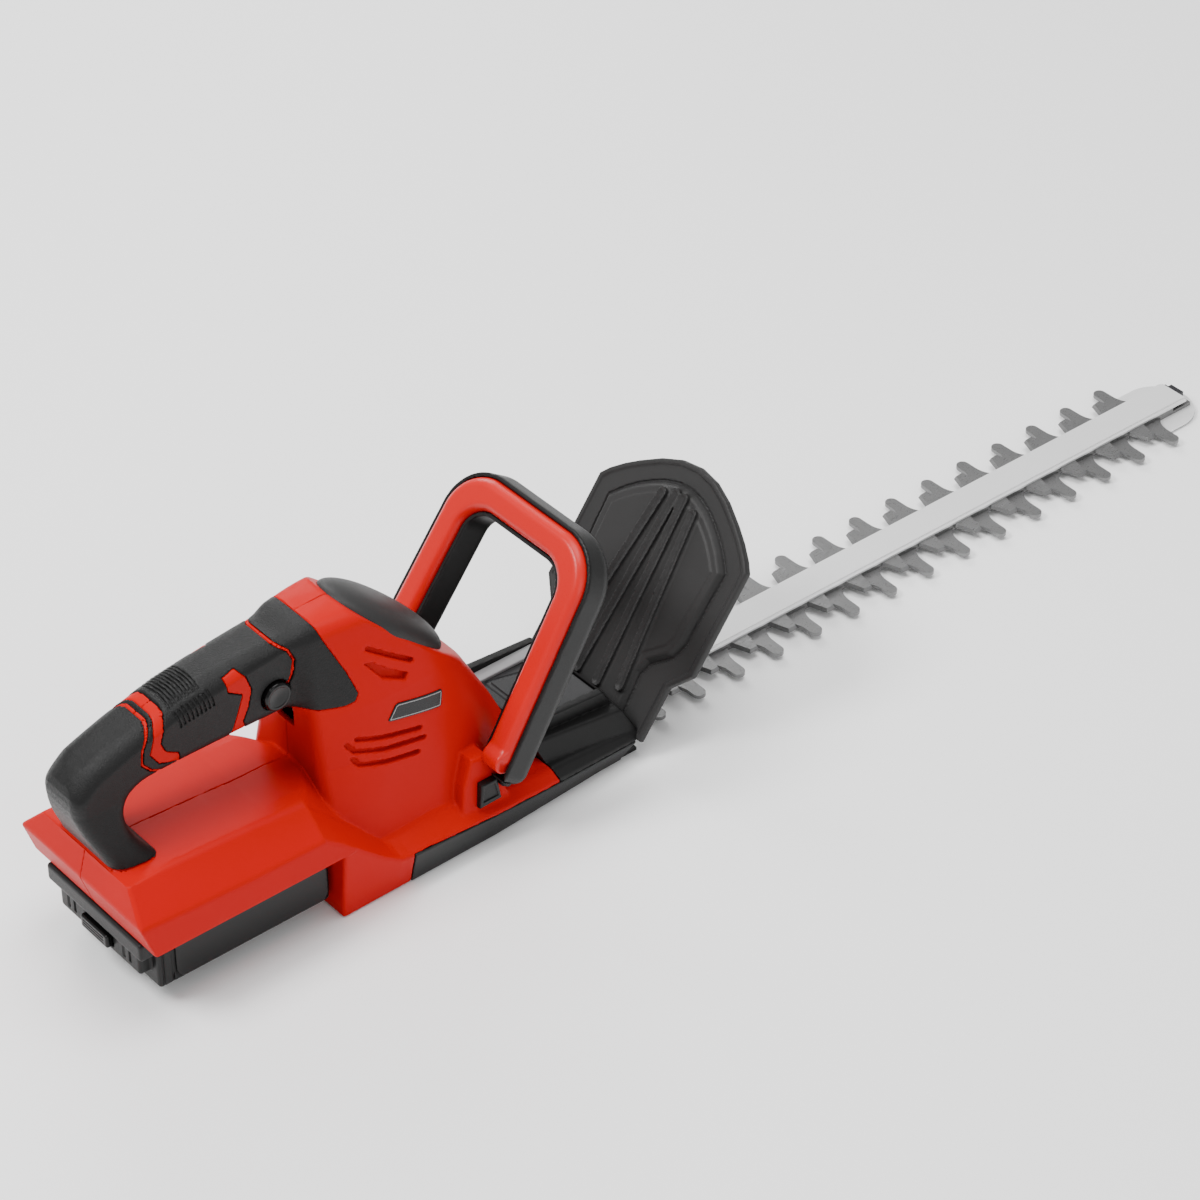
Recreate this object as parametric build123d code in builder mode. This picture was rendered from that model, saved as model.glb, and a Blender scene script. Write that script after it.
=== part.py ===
from build123d import *
from math import atan, cos, degrees, radians, sin
import os

os.makedirs("parts", exist_ok=True)

# Frame: +X towards the blade tip, +Y to the left, +Z up.
# The flat underside is z = 0, and x = 0 is mid-length.

# ---------------------------------------------------------------- driving dimensions, mm
WALL = 3.0                      # moulded wall of the housing
GAP = 0.3                       # clearance between bodies that move past each other

# blades
PITCH = 32.0                    # from tooth to tooth
TEETH = 15                      # along each side
FIRST_TOOTH = -45.0             # x of the first tooth's place
PLATE = 2.5                     # thickness of either blade
COMB_Z = 2.5                    # underside of the fixed comb
CUTTER_Z = COMB_Z + PLATE       # underside of the moving cutter
RAIL_Z = CUTTER_Z + PLATE       # underside of the support rail
BLADE_HALF = 12.2               # half width of the blades' backs
RAIL_CROWN = 10.0               # half width of the rail's raised middle
RAIL_END = 436.5
NOSE_RADIUS = 24.4              # blunt plate at the tip
NOSE_END = 447.0
THROW = 8.0                     # crank pin off its axle: half of the stroke

# lower body: stations along x with (half width, height) of deck edge, ridge and foot
TAIL_X = -438.0
BATTERY_ROOF = 49.5
BLOCK_X = -300.0                # wall in front of the battery
SKIRT_X = -252.3
RED_END = -142.0
BODY_END = -77.0
TAIL_STATIONS = [
    (TAIL_X, (40.0, 91.5), (59.0, 72.6), (59.5, BATTERY_ROOF)),
    (-313.0, (40.0, 83.8), (59.0, 68.4), (59.5, BATTERY_ROOF)),
    (BLOCK_X, (40.6, 71.0), (59.0, 57.0), (59.0, BATTERY_ROOF)),
]
BASE_STATIONS = [
    (BLOCK_X, (40.6, 71.0), (59.0, 57.0), (54.0, 0.0)),
    (-264.0, (42.0, 34.5), (59.0, 26.0), (53.5, 0.0)),
    (RED_END, (52.0, 26.6), (56.0, 19.0), (50.0, 0.0)),
    (BODY_END, (48.0, 20.0), (52.5, 13.5), (47.5, 0.0)),
]
SKIRT_TOP_REAR = 24.0
SKIRT_TOP_FRONT = 13.0

# motor hump: (z, rear x, front x, half width, corner radius)
HUMP_STATIONS = [
    (20.0, -288.0, -143.0, 46.0, 20.0),
    (60.0, -294.0, -156.0, 43.0, 20.0),
    (100.0, -295.0, -176.0, 39.0, 18.0),
    (140.0, -294.0, -196.0, 35.0, 17.0),
    (184.0, -290.0, -215.0, 27.0, 16.0),
]
CAP_TILT = 43.0                 # the cap faces forwards and up
CAP_CENTRE = (-225.0, 147.0)    # x, z of the middle of the cap's seat
CAP_LENGTH = 94.0
CAP_WIDTH = 60.0
CAP_RISE = 13.0

# rear grip, side view
GRIP_HALF = 18.0
GRIP_BEND = 9.0                 # rounding of the bends in side view
GRIP_EDGE = 7.0                 # rounding of the grip's long edges
SKIN = 2.5                      # soft overmould over the hard core
GRIP_TOP = [(-262, 184), (-307, 181), (-338, 177), (-372, 172), (-405, 162.5), (-432, 152)]
GRIP_REAR = [(-447.4, 140), (-445, 124), (-436, 106)]
GRIP_FOOT = [(-429, 84.0), (-394, 82.0)]
GRIP_INNER = [(-410, 102), (-415, 114), (-408, 126), (-392, 131.5), (-340, 132), (-280, 131)]

# front handle loop, in a plane that leans forwards
HANDLE_LEAN = degrees(atan(0.67))
HANDLE_ORIGIN = (-180.0, 0.0, 85.0)
HANDLE_TOP = 112.0              # outer top edge above the plane's origin
HANDLE_FOOT = -42.0
HANDLE_OUTER_LOW = 70.0         # outer half width at the foot
HANDLE_OUTER_HIGH = 63.0        # and just below the top corners
HANDLE_BAR = 21.0               # bar width in the plane
HANDLE_CORNER = 32.0
BAIL_LIP = 2.9                  # frame either side of the bail
BAIL_DEPTH = 8.0
BAIL_SINK = 5.0                 # free depth that the bail is squeezed into
FRAME_REAR = 4.5                # the bail stands this far out of the frame
FRAME_FRONT = 25.0
BAIL_PIVOT_UP = -24.0           # pivot in the plane: up the handle, and into it
BAIL_PIVOT_IN = 10.0
BAIL_PIN_RADIUS = 2.0

# hand guard
GUARD_LEAN = degrees(atan(0.732))
GUARD_FOOT = (-80.4, 13.6)      # x, z of the rear face's lower edge
GUARD_THICK = 4.0
GUARD_LOW_HALF = 54.5
GUARD_HALF = 66.8
GUARD_NOTCH = (37.0, 51.0)      # where it widens, up its face
GUARD_SHOULDER = 121.0
GUARD_TOP = 158.4

# battery pack
PACK_HALF = 46.0
PACK_REAR = -421.0
PACK_FRONT = -303.5
PACK_FLOOR = 11.0
PACK_TOP = 49.0
PACK_TAIL_HALF = 39.0
PACK_TAIL_REAR = -429.0
PACK_TAIL_FLOOR = 21.0
PACK_LIP_REAR = -432.0
PACK_LIP_HALF = 46.0
PACK_SPLIT = 37.0               # case below, lid above
CELL_RADIUS = 9.2
CELL_LENGTH = 65.0

# drive
GEAR_MODULE = 1.0
GEAR_TEETH = 56
PINION_TEETH = 10
CRANK_X = -205.0
MOTOR_X = CRANK_X - GEAR_MODULE * (GEAR_TEETH + PINION_TEETH) / 2
GEAR_Z = (24.0, 32.0)
CASE_FRONT = -161.0             # front wall of the gearcase
MOTOR_Z = (50.0, 116.0)
MOTOR_RADIUS = 21.0
AXLE_RADIUS = 4.0
PIN_RADIUS = 4.0
SHAFT_RADIUS = 2.5
RUNNING = 0.05                  # radial clearance of a running fit

# controls
BUTTON_PLACE = (-313.5, 148.0)  # x, z of the side lock button
BUTTON_RADIUS = 9.0
BUTTON_FACE = 21.5              # how far out the button's face stands
TRIGGER_PIVOT = (-296.0, 140.0)


def save(piece, name):
    """Label a finished piece and write it to its own file."""
    piece.label = name
    export_step(piece, f"parts/{name}.step")


def body_section(x, deck, ridge, foot):
    """Six-cornered cross-section of the lower body at x."""
    with BuildSketch(Plane.YZ.offset(x)) as section:
        with BuildLine():
            right = [deck, ridge, foot]
            Polyline(*right, *[(-y, z) for y, z in reversed(right)], close=True)
        make_face()
    return section.sketch


def shrink(station, wall):
    """The same cross-section moved in by a wall."""
    x, deck, ridge, foot = station
    return (
        x,
        (deck[0] - wall * 0.6, deck[1] - wall),
        (ridge[0] - wall, ridge[1] - wall * 0.5),
        (foot[0] - wall, foot[1] + wall),
    )


def hump_section(z, rear, front, half, radius, inset=0.0):
    """Rounded rectangle across the motor hump at height z."""
    with BuildSketch(Plane.XY.offset(z)) as section:
        with Locations(((rear + front) / 2, 0)):
            RectangleRounded(front - rear - 2 * inset, 2 * (half - inset), radius - inset)
    return section.sketch


def slab(points, half):
    """A straight-sided side-view shape, extruded to a half width either side of the middle."""
    with BuildPart() as solid:
        with BuildSketch(Plane.XZ):
            with BuildLine():
                Polyline(*points, close=True)
            make_face()
        extrude(amount=half, both=True)
    return solid.part


def box(x, y, z):
    """A block from three (low, high) pairs."""
    with BuildPart() as block:
        with Locations(((x[0] + x[1]) / 2, (y[0] + y[1]) / 2, (z[0] + z[1]) / 2)):
            Box(x[1] - x[0], y[1] - y[0], z[1] - z[0])
    return block.part


def rod(radius, start, end, centre, axis=Plane.XY, bore=0.0):
    """A cylinder or ring along a plane's normal, from start to end."""
    with BuildPart() as cylinder:
        with BuildSketch(axis.offset(start)):
            with Locations(centre):
                Circle(radius)
                if bore:
                    Circle(bore, mode=Mode.SUBTRACT)
        extrude(amount=end - start)
    return cylinder.part


CAP_PLANE = Plane(
    origin=(CAP_CENTRE[0], 0, CAP_CENTRE[1]),
    x_dir=(cos(radians(CAP_TILT)), 0, -sin(radians(CAP_TILT))),
    z_dir=(sin(radians(CAP_TILT)), 0, cos(radians(CAP_TILT))),
)


# ---------------------------------------------------------------- grip shapes, shared by housing and overmould
def grip_shape(half, inset):
    """The D-grip: a closed hand loop standing on the tail, with rounded edges."""
    with BuildPart() as grip:
        with BuildSketch(Plane.XZ) as outline:
            with BuildLine():
                Polyline(*GRIP_TOP, *GRIP_REAR, *GRIP_FOOT, *GRIP_INNER, close=True)
            make_face()
            if inset:
                offset(amount=-inset, kind=Kind.INTERSECTION, mode=Mode.REPLACE)
            # every bend but the four corners buried in the tail and the hump
            fillet(outline.vertices().filter_by(lambda v: v.X < -290 and v.Y > 90), GRIP_BEND)
        extrude(amount=half, both=True)
        sides = grip.edges().filter_by(lambda edge: edge.center().Y ** 2 > (half - 0.01) ** 2)
        fillet(sides.filter_by(lambda edge: edge.center().X < -270 and edge.center().Z > 87), GRIP_EDGE - inset)
    return grip.part


with BuildPart() as grip_outside:
    add(grip_shape(GRIP_HALF, 0.0))

with BuildPart() as grip_core:
    add(grip_shape(GRIP_HALF - SKIN, SKIN))


# ---------------------------------------------------------------- housing shells
skirt_side = [
    (SKIRT_X, -1),
    (SKIRT_X, SKIRT_TOP_REAR),
    (BODY_END - 5, SKIRT_TOP_FRONT),
    (BODY_END + 20, SKIRT_TOP_FRONT),
    (BODY_END + 20, -1),
]

with BuildPart() as lower_body:
    for station in BASE_STATIONS:
        add(body_section(*station))
    loft(ruled=True)

# the rear wall leans out from both edges to the ridge
tail_side = [
    (-432.4, 92),
    (-437.8, 72.6),
    (-430.1, BATTERY_ROOF),
    (BLOCK_X, BATTERY_ROOF),
    (BLOCK_X, 84),
    (-313, 83.8),
]

with BuildPart() as tail_box:
    for station in TAIL_STATIONS:
        add(body_section(*station))
    loft(ruled=True)
    add(slab(tail_side, 70), mode=Mode.INTERSECT)

with BuildPart() as tail_hollow:
    for station in TAIL_STATIONS:
        add(body_section(*shrink(station, WALL)))
    loft(ruled=True)
    add(slab([(-429, 53), (-429, 100), (BLOCK_X + 9, 100), (BLOCK_X + 9, 53)], 70), mode=Mode.INTERSECT)

with BuildPart() as hump:
    for station in HUMP_STATIONS:
        add(hump_section(*station))
    loft()
    split(bisect_by=CAP_PLANE, keep=Keep.BOTTOM)

with BuildPart() as hump_hollow:
    for station in HUMP_STATIONS:
        add(hump_section(*station, inset=WALL))
    loft()
    split(bisect_by=CAP_PLANE.offset(-WALL), keep=Keep.BOTTOM)

with BuildPart() as base_hollow:
    for station in BASE_STATIONS:
        add(body_section(*shrink(station, WALL)))
    loft(ruled=True)
    # open underneath for the gearcase and its cover
    add(box((-290, BODY_END - 4), (-60, 60), (2.4, 200)), mode=Mode.INTERSECT)

# the grip's bore for the trigger, its switch and the wires
grip_bore = [(-425, 152), (-395, 140), (-350, 139), (-262, 139),
             (-262, 172), (-330, 170), (-372, 165), (-400, 157)]
trigger_mouth = [(-333, 150), (-333, 120), (-291, 120), (-291, 150)]

with BuildPart() as grip_hollow:
    add(slab(grip_bore, 10))
    add(slab(trigger_mouth, 8))

button_hole = rod(BUTTON_RADIUS + GAP, 5, 40, BUTTON_PLACE, Plane.XZ)

upper_vents = [
    [(-256, 151), (-228, 127), (-221, 128), (-249, 152)],
    [(-260, 145), (-252, 128), (-231, 117), (-228, 120)],
]
lower_vents = [
    [(-273, 109), (-225, 96), (-225, 93), (-273, 106)],
    [(-280, 103), (-219, 86), (-219, 83), (-280, 100)],
    [(-274, 93), (-226, 81), (-226, 78), (-274, 90)],
]

# bosses that the clamshell screws bite into: (x, z, half length)
BOSSES = [
    (-422, 68, 57.0),
    (-345, 66, 57.0),
    (-284, 100, 37.0),
    (-156, 34, 44.0),
    (-284, 150, 30.0),
    (-418, 144, 15.0),
]
BOSS_RADIUS = 4.0
SCREW_RADIUS = 1.7
SCREW_HEAD = 3.2
HEAD_DEPTH = 5.0                # how far a head is sunk below the boss's end

# what the nose, skirt and cover leave for themselves
terminal_window = box((-341, -305), (-27, 27), (45, 63))
cover_well = box((-248, BODY_END + 20), (-47, 47), (-1, 2.4))
nose_side = [(RED_END, -1), (RED_END, 200), (BODY_END + 40, 200), (BODY_END + 40, -1)]

with BuildPart() as housing:
    add(lower_body.part)
    add(tail_box.part)
    add(hump.part)
    add(grip_core.part)
    for cavity in (tail_hollow, base_hollow, hump_hollow, grip_hollow):
        add(cavity.part, mode=Mode.SUBTRACT)
    for vent in upper_vents + lower_vents:
        add(slab(vent, 60), mode=Mode.SUBTRACT)
    add(slab(skirt_side, 80), mode=Mode.SUBTRACT)
    add(slab(nose_side, 80), mode=Mode.SUBTRACT)
    add(cover_well, mode=Mode.SUBTRACT)
    add(button_hole, mode=Mode.SUBTRACT)
    add(terminal_window, mode=Mode.SUBTRACT)
    for x, z, half in BOSSES:
        add(rod(BOSS_RADIUS, -half, half, (x, z), Plane.XZ))
    for x, z, half in BOSSES:
        add(rod(SCREW_RADIUS, -half, 12, (x, z), Plane.XZ), mode=Mode.SUBTRACT)
        add(rod(SCREW_HEAD, -70, HEAD_DEPTH - half, (x, z), Plane.XZ), mode=Mode.SUBTRACT)

with BuildPart() as housing_right:
    add(housing.part)
    split(bisect_by=Plane.XZ, keep=Keep.TOP)

with BuildPart() as housing_left:
    add(housing.part)
    split(bisect_by=Plane.XZ, keep=Keep.BOTTOM)

save(housing_right.part, "housing_right")
save(housing_left.part, "housing_left")

with BuildPart() as housing_screws:
    for x, z, half in BOSSES:
        head = HEAD_DEPTH - half
        add(rod(SCREW_RADIUS, head, 10, (x, z), Plane.XZ))
        add(rod(SCREW_HEAD - GAP, head - 2.5, head, (x, z), Plane.XZ))
save(housing_screws.part, "housing_screws")


# ---------------------------------------------------------------- cap over the motor
with BuildPart() as motor_cap:
    with BuildSketch(CAP_PLANE):
        Ellipse(CAP_LENGTH / 2, CAP_WIDTH / 2)
    extrude(amount=2.0)
    with BuildSketch(CAP_PLANE.offset(2.0)):
        Ellipse(CAP_LENGTH / 2, CAP_WIDTH / 2)
    with BuildSketch(CAP_PLANE.offset(8.0)):
        Ellipse(CAP_LENGTH / 2 - 9, CAP_WIDTH / 2 - 8)
    with BuildSketch(CAP_PLANE.offset(CAP_RISE - 2)):
        Ellipse(CAP_LENGTH / 2 - 20, CAP_WIDTH / 2 - 16)
    loft()
save(motor_cap.part, "motor_cap")


# ---------------------------------------------------------------- soft overmould on the grip, in three pieces
def grip_sleeve(low, high):
    """The grip's skin between two x planes."""
    with BuildPart() as sleeve:
        add(grip_outside.part)
        add(box((low, high), (-30, 30), (80, 200)), mode=Mode.INTERSECT)
        add(grip_core.part, mode=Mode.SUBTRACT)
        add(tail_box.part, mode=Mode.SUBTRACT)
        add(hump.part, mode=Mode.SUBTRACT)
        add(grip_hollow.part, mode=Mode.SUBTRACT)
        add(button_hole, mode=Mode.SUBTRACT)
        for x, z, half in BOSSES:
            add(rod(SCREW_HEAD, -30, -half + HEAD_DEPTH, (x, z), Plane.XZ), mode=Mode.SUBTRACT)
    return sleeve.part


save(grip_sleeve(-460, -384), "grip_sleeve_rear")
save(grip_sleeve(-378, -312), "grip_sleeve_middle")
save(grip_sleeve(-310, -250), "grip_sleeve_front")


# ---------------------------------------------------------------- hand guard
GUARD_UP = (sin(radians(GUARD_LEAN)), 0, cos(radians(GUARD_LEAN)))
GUARD_PLANE = Plane(
    origin=(GUARD_FOOT[0], 0, GUARD_FOOT[1]),
    x_dir=(0, 1, 0),
    z_dir=(GUARD_UP[2], 0, -GUARD_UP[0]),
)
GUARD_ARCH = (45.0, 139.5)      # where the arched top meets the sloping shoulders
PANEL_RAISE = 4.0
PANEL_INSET = 16.0


def guard_outline(inset):
    """The guard's outline in its own plane, or the same moved in."""
    low, wide = GUARD_LOW_HALF - inset * 1.2, GUARD_HALF - inset
    with BuildSketch(GUARD_PLANE) as outline:
        with BuildLine():
            arch_y, arch_z = GUARD_ARCH[0] - inset * 0.7, GUARD_ARCH[1] - inset * 0.8
            foot = inset
            right = [(low, foot), (low, GUARD_NOTCH[0]), (wide, GUARD_NOTCH[1])]
            right += [(wide, GUARD_SHOULDER - inset * 0.4), (arch_y, arch_z)]
            Polyline(*right)
            Polyline(*[(-y, z) for y, z in right])
            ThreePointArc((arch_y, arch_z), (0, GUARD_TOP - inset), (-arch_y, arch_z))
            Line((low, foot), (-low, foot))
        make_face()
    return outline.sketch


with BuildPart() as guard_room:
    with BuildSketch(GUARD_PLANE):
        with Locations((0, 80)):
            Rectangle(200, 160.2)
    extrude(amount=60)

GUARD_SCREW_SPOTS = [(-28, 4.0), (28, 4.0)]
guard_holes = [rod(2.0, -20, 20, spot, GUARD_PLANE) for spot in GUARD_SCREW_SPOTS]

with BuildPart() as hand_guard:
    extrude(guard_outline(0), amount=GUARD_THICK)
    extrude(guard_outline(PANEL_INSET), amount=-PANEL_RAISE)
    for hole in guard_holes:
        add(hole, mode=Mode.SUBTRACT)
save(hand_guard.part, "hand_guard")

with BuildPart() as guard_screws:
    for spot in GUARD_SCREW_SPOTS:
        add(rod(2.0, -7, GUARD_THICK, spot, GUARD_PLANE))
        add(rod(3.6, GUARD_THICK, GUARD_THICK + 2.0, spot, GUARD_PLANE))
save(guard_screws.part, "guard_screws")


# ---------------------------------------------------------------- skirt, nose and bottom cover
with BuildPart() as skirt:
    add(lower_body.part)
    add(slab(skirt_side, 80), mode=Mode.INTERSECT)
    add(base_hollow.part, mode=Mode.SUBTRACT)
    add(box((-260, BODY_END + 20), (-47, 47), (-1, 60)), mode=Mode.SUBTRACT)
    add(guard_room.part, mode=Mode.SUBTRACT)
save(skirt.part, "skirt")

NOSE_STATIONS = [
    (RED_END, (35.0, 47.0), (44.0, 37.0), (56.0, 19.0), (50.0, 2.4)),
    (-91.0, (35.0, 45.5), (43.0, 33.0), (53.2, 15.0), (48.0, 2.4)),
    (BODY_END, (33.0, 23.0), (42.0, 19.0), (52.5, 13.5), (47.5, 2.4)),
]
PLATE_HALF = 29.0

with BuildPart() as nose_cover:
    for x, *corners in NOSE_STATIONS:
        with BuildSketch(Plane.YZ.offset(x)):
            with BuildLine():
                Polyline(*corners, *[(-y, z) for y, z in reversed(corners)], close=True)
            make_face()
    loft(ruled=True)
    add(slab(skirt_side, 80), mode=Mode.SUBTRACT)
    add(guard_room.part, mode=Mode.SUBTRACT)
    # hollow, with a bed for the gear plate and a tunnel for the blades
    add(box((-150, -88), (-31, 31), (12.0, 38.0)), mode=Mode.SUBTRACT)
    add(box((-150, -86), (-PLATE_HALF - 0.2, PLATE_HALF + 0.2), (30, 60)), mode=Mode.SUBTRACT)
    add(box((-150, -60), (-47, 47), (-1, 14)), mode=Mode.SUBTRACT)
    for hole in guard_holes:
        add(hole, mode=Mode.SUBTRACT)
save(nose_cover.part, "nose_cover")

with BuildPart() as gear_plate:
    with BuildSketch(Plane.XY.offset(38.2)):
        with Locations((-114, 0)):
            Rectangle(54, 2 * PLATE_HALF)
    extrude(amount=4.3)
    chamfer(gear_plate.faces().sort_by(Axis.Z)[-1].edges(), 1.2)
    # raised trapezoid pad
    with BuildSketch(Plane.XY.offset(42.5)):
        with BuildLine():
            Polyline((-134, -16), (-134, 16), (-104, 9), (-104, -9), close=True)
        make_face()
    extrude(amount=1.0)
save(gear_plate.part, "gear_plate")

COVER_SCREWS = [(-238, -35.5), (-238, 35.5), (-166, -35.5), (-166, 35.5)]

with BuildPart() as bottom_cover:
    add(box((-247, BODY_END + 1), (-46.7, 46.7), (0, 2.2)))
    # way in for the rear blade bolt
    add(rod(5.0, -1, 3, (-120, 0)), mode=Mode.SUBTRACT)
    with Locations(*[(x, y, 0) for x, y in COVER_SCREWS]):
        Cylinder(SCREW_RADIUS, 10, mode=Mode.SUBTRACT)
save(bottom_cover.part, "bottom_cover")

with BuildPart() as cover_screws:
    for x, y in COVER_SCREWS:
        add(rod(SCREW_RADIUS, 0.4, 13, (x, y)))
save(cover_screws.part, "cover_screws")


# ---------------------------------------------------------------- front handle: frame, bail and its pins
HANDLE_UP = (sin(radians(HANDLE_LEAN)), 0, cos(radians(HANDLE_LEAN)))
HANDLE_PLANE = Plane(
    origin=HANDLE_ORIGIN,
    x_dir=(0, 1, 0),
    z_dir=(HANDLE_UP[2], 0, -HANDLE_UP[0]),
)


def bar_half(up, inset):
    """Half width of the handle's outer side at a height up its plane, moved in by an inset."""
    rise = (up - HANDLE_FOOT) / (HANDLE_TOP - HANDLE_FOOT)
    return HANDLE_OUTER_LOW + rise * (HANDLE_OUTER_HIGH - HANDLE_OUTER_LOW) - inset


def arch(inset, foot, top, corner):
    """A filled arch in the handle's plane, with rounded upper corners."""
    low, high = bar_half(foot, inset), bar_half(top, inset)
    with BuildSketch(HANDLE_PLANE) as filled:
        with BuildLine():
            Polyline((-low, foot), (-high, top), (high, top), (low, foot), close=True)
        make_face()
        fillet(filled.vertices().group_by(Axis.Y)[-1], corner)
    return filled.sketch


def handle_ring(lip, foot):
    """The handle's bar from its feet up, narrowed on both sides by a lip."""
    outside = arch(lip, foot, HANDLE_TOP - lip, HANDLE_CORNER - lip)
    inside = arch(HANDLE_BAR - lip, foot - 1, HANDLE_TOP - HANDLE_BAR + lip, HANDLE_CORNER - HANDLE_BAR + lip)
    return outside - inside


def in_handle(across, up, depth):
    """A block in the handle's own directions, from three (low, high) pairs."""
    with BuildPart() as block:
        with BuildSketch(HANDLE_PLANE.offset(depth[0])):
            with Locations(((across[0] + across[1]) / 2, (up[0] + up[1]) / 2)):
                Rectangle(across[1] - across[0], up[1] - up[0])
        extrude(amount=depth[1] - depth[0])
    return block.part


pivot_x = HANDLE_ORIGIN[0] + BAIL_PIVOT_UP * HANDLE_UP[0] + BAIL_PIVOT_IN * HANDLE_UP[2]
pivot_z = HANDLE_ORIGIN[2] + BAIL_PIVOT_UP * HANDLE_UP[2] - BAIL_PIVOT_IN * HANDLE_UP[0]
LEG_OUT = bar_half(BAIL_PIVOT_UP, 0)        # half width of the legs' outer side at the pivot
LEG_IN = LEG_OUT - HANDLE_BAR
EAR = 6.0                                   # radius of the bail's ears

groove = extrude(handle_ring(BAIL_LIP - GAP, BAIL_PIVOT_UP - 12), amount=BAIL_DEPTH + BAIL_SINK)
pockets = [
    in_handle((side * (LEG_IN + LEG_OUT) / 2 - 7.9, side * (LEG_IN + LEG_OUT) / 2 + 7.9), (-36, -14), (0, 17.5))
    for side in (-1, 1)
]
feet = [in_handle(ends, (HANDLE_FOOT, -25), (18, FRAME_FRONT)) for ends in ((-66, -38), (38, 66))]

with BuildPart() as handle_frame:
    extrude(handle_ring(0, HANDLE_FOOT), amount=FRAME_FRONT)
    for foot in feet:
        add(foot)
    add(in_handle((-100, 100), (-100, 150), (-1, FRAME_REAR)), mode=Mode.SUBTRACT)
    add(groove, mode=Mode.SUBTRACT)
    for pocket in pockets:
        add(pocket, mode=Mode.SUBTRACT)
    add(rod(BAIL_PIN_RADIUS, -90, 90, (pivot_x, pivot_z), Plane.XZ), mode=Mode.SUBTRACT)
save(handle_frame.part, "handle_frame")

with BuildPart() as handle_bail:
    extrude(handle_ring(BAIL_LIP, BAIL_PIVOT_UP), amount=BAIL_DEPTH)
    for side in (-1, 1):
        middle = side * (LEG_IN + LEG_OUT) / 2
        add(rod(EAR, -middle - 7.2, -middle + 7.2, (pivot_x, pivot_z), Plane.XZ))
        add(in_handle((middle - 7.2, middle + 7.2), (BAIL_PIVOT_UP, -14), (0, BAIL_PIVOT_IN)))
    add(rod(BAIL_PIN_RADIUS + RUNNING, -90, 90, (pivot_x, pivot_z), Plane.XZ), mode=Mode.SUBTRACT)
save(handle_bail.part, "handle_bail")

with BuildPart() as bail_pins:
    for side in (-1, 1):
        middle = side * (LEG_IN + LEG_OUT) / 2
        add(rod(BAIL_PIN_RADIUS, -middle - 9.5, -middle + 9.5, (pivot_x, pivot_z), Plane.XZ))
save(bail_pins.part, "bail_pins")

with BuildPart() as bail_switch:
    add(box((-200, -182), (24, 34), (60, 72)))
save(bail_switch.part, "bail_switch")


# ---------------------------------------------------------------- trigger and lock button in the rear grip
trigger_side = [(-300, 145), (-292, 144), (-291.5, 137), (-297, 128),
                (-312, 126), (-328, 129), (-331, 135), (-330, 141)]

with BuildPart() as rear_trigger:
    add(slab(trigger_side, 6.5))
    fillet(rear_trigger.edges().filter_by(Axis.Y).sort_by(Axis.Z)[:3], 2.0)
    add(rod(2.0 + RUNNING, -20, 20, TRIGGER_PIVOT, Plane.XZ), mode=Mode.SUBTRACT)
save(rear_trigger.part, "rear_trigger")
save(rod(2.0, -14, 14, TRIGGER_PIVOT, Plane.XZ), "trigger_pin")
save(rod(2.4, 145.5, 152, (-320, 0), Plane.XY, bore=1.5), "trigger_spring")
save(box((-345, -312), (-8, 8), (152.2, 166)), "trigger_switch")

lock_button = rod(BUTTON_RADIUS, 11, BUTTON_FACE, BUTTON_PLACE, Plane.XZ)
save(lock_button, "lock_button")


# ---------------------------------------------------------------- battery pack
with BuildPart() as pack_case:
    add(box((PACK_REAR, PACK_FRONT), (-PACK_HALF, PACK_HALF), (PACK_FLOOR, PACK_SPLIT)))
    fillet(pack_case.edges().filter_by(Axis.Z), 5.0)
    chamfer(pack_case.faces().sort_by(Axis.Z)[0].edges(), 1.5)
    add(box((PACK_TAIL_REAR, PACK_REAR + 8), (-PACK_TAIL_HALF, PACK_TAIL_HALF), (PACK_TAIL_FLOOR, PACK_SPLIT)))
    hollow_x = (PACK_REAR + WALL, PACK_FRONT - WALL)
    hollow_y = (-PACK_HALF + WALL, PACK_HALF - WALL)
    add(box(hollow_x, hollow_y, (PACK_FLOOR + WALL, PACK_TOP)), mode=Mode.SUBTRACT)
    add(box((PACK_TAIL_REAR - 1, PACK_REAR + 4), (-13.4, 13.4), (24.6, 34.4)), mode=Mode.SUBTRACT)
save(pack_case.part, "pack_case")

with BuildPart() as pack_lid:
    add(box((PACK_LIP_REAR, PACK_FRONT), (-PACK_LIP_HALF, PACK_LIP_HALF), (PACK_SPLIT, PACK_TOP)))
    fillet(pack_lid.edges().filter_by(Axis.Z), 4.0)
    chamfer(pack_lid.faces().sort_by(Axis.Z)[-1].edges(), 1.0)
    add(box((PACK_REAR + 3, -346), (-PACK_HALF + 3, PACK_HALF - 3), (30, PACK_TOP - 2.5)), mode=Mode.SUBTRACT)
    for y in (-16, -6, 6, 16):
        add(box((-341, -300), (y - 1.6, y + 1.6), (42, 60)), mode=Mode.SUBTRACT)
save(pack_lid.part, "pack_lid")

CELL_PLACES = [-408.5 + 19.0 * i for i in range(5)]
with BuildPart() as pack_cells:
    for x in CELL_PLACES:
        add(rod(CELL_RADIUS, -CELL_LENGTH / 2, CELL_LENGTH / 2, (x, PACK_FLOOR + 13.2), Plane.XZ))
        add(rod(3.0, CELL_LENGTH / 2, CELL_LENGTH / 2 + 1.0, (x, PACK_FLOOR + 13.2), Plane.XZ))
save(pack_cells.part, "pack_cells")
save(box((-319, -312), (-38, 38), (16, 35)), "pack_board")
save(box((-433, -424.5), (-13, 13), (25, 34)), "pack_release")

with BuildPart() as terminal_block:
    add(box((-340.5, -306), (-26.5, 26.5), (BATTERY_ROOF + 0.3, 62)))
    for y in (-16, -6, 6, 16):
        add(box((-338, -314), (y - 0.8, y + 0.8), (40, 60)), mode=Mode.SUBTRACT)
save(terminal_block.part, "terminal_block")

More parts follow.
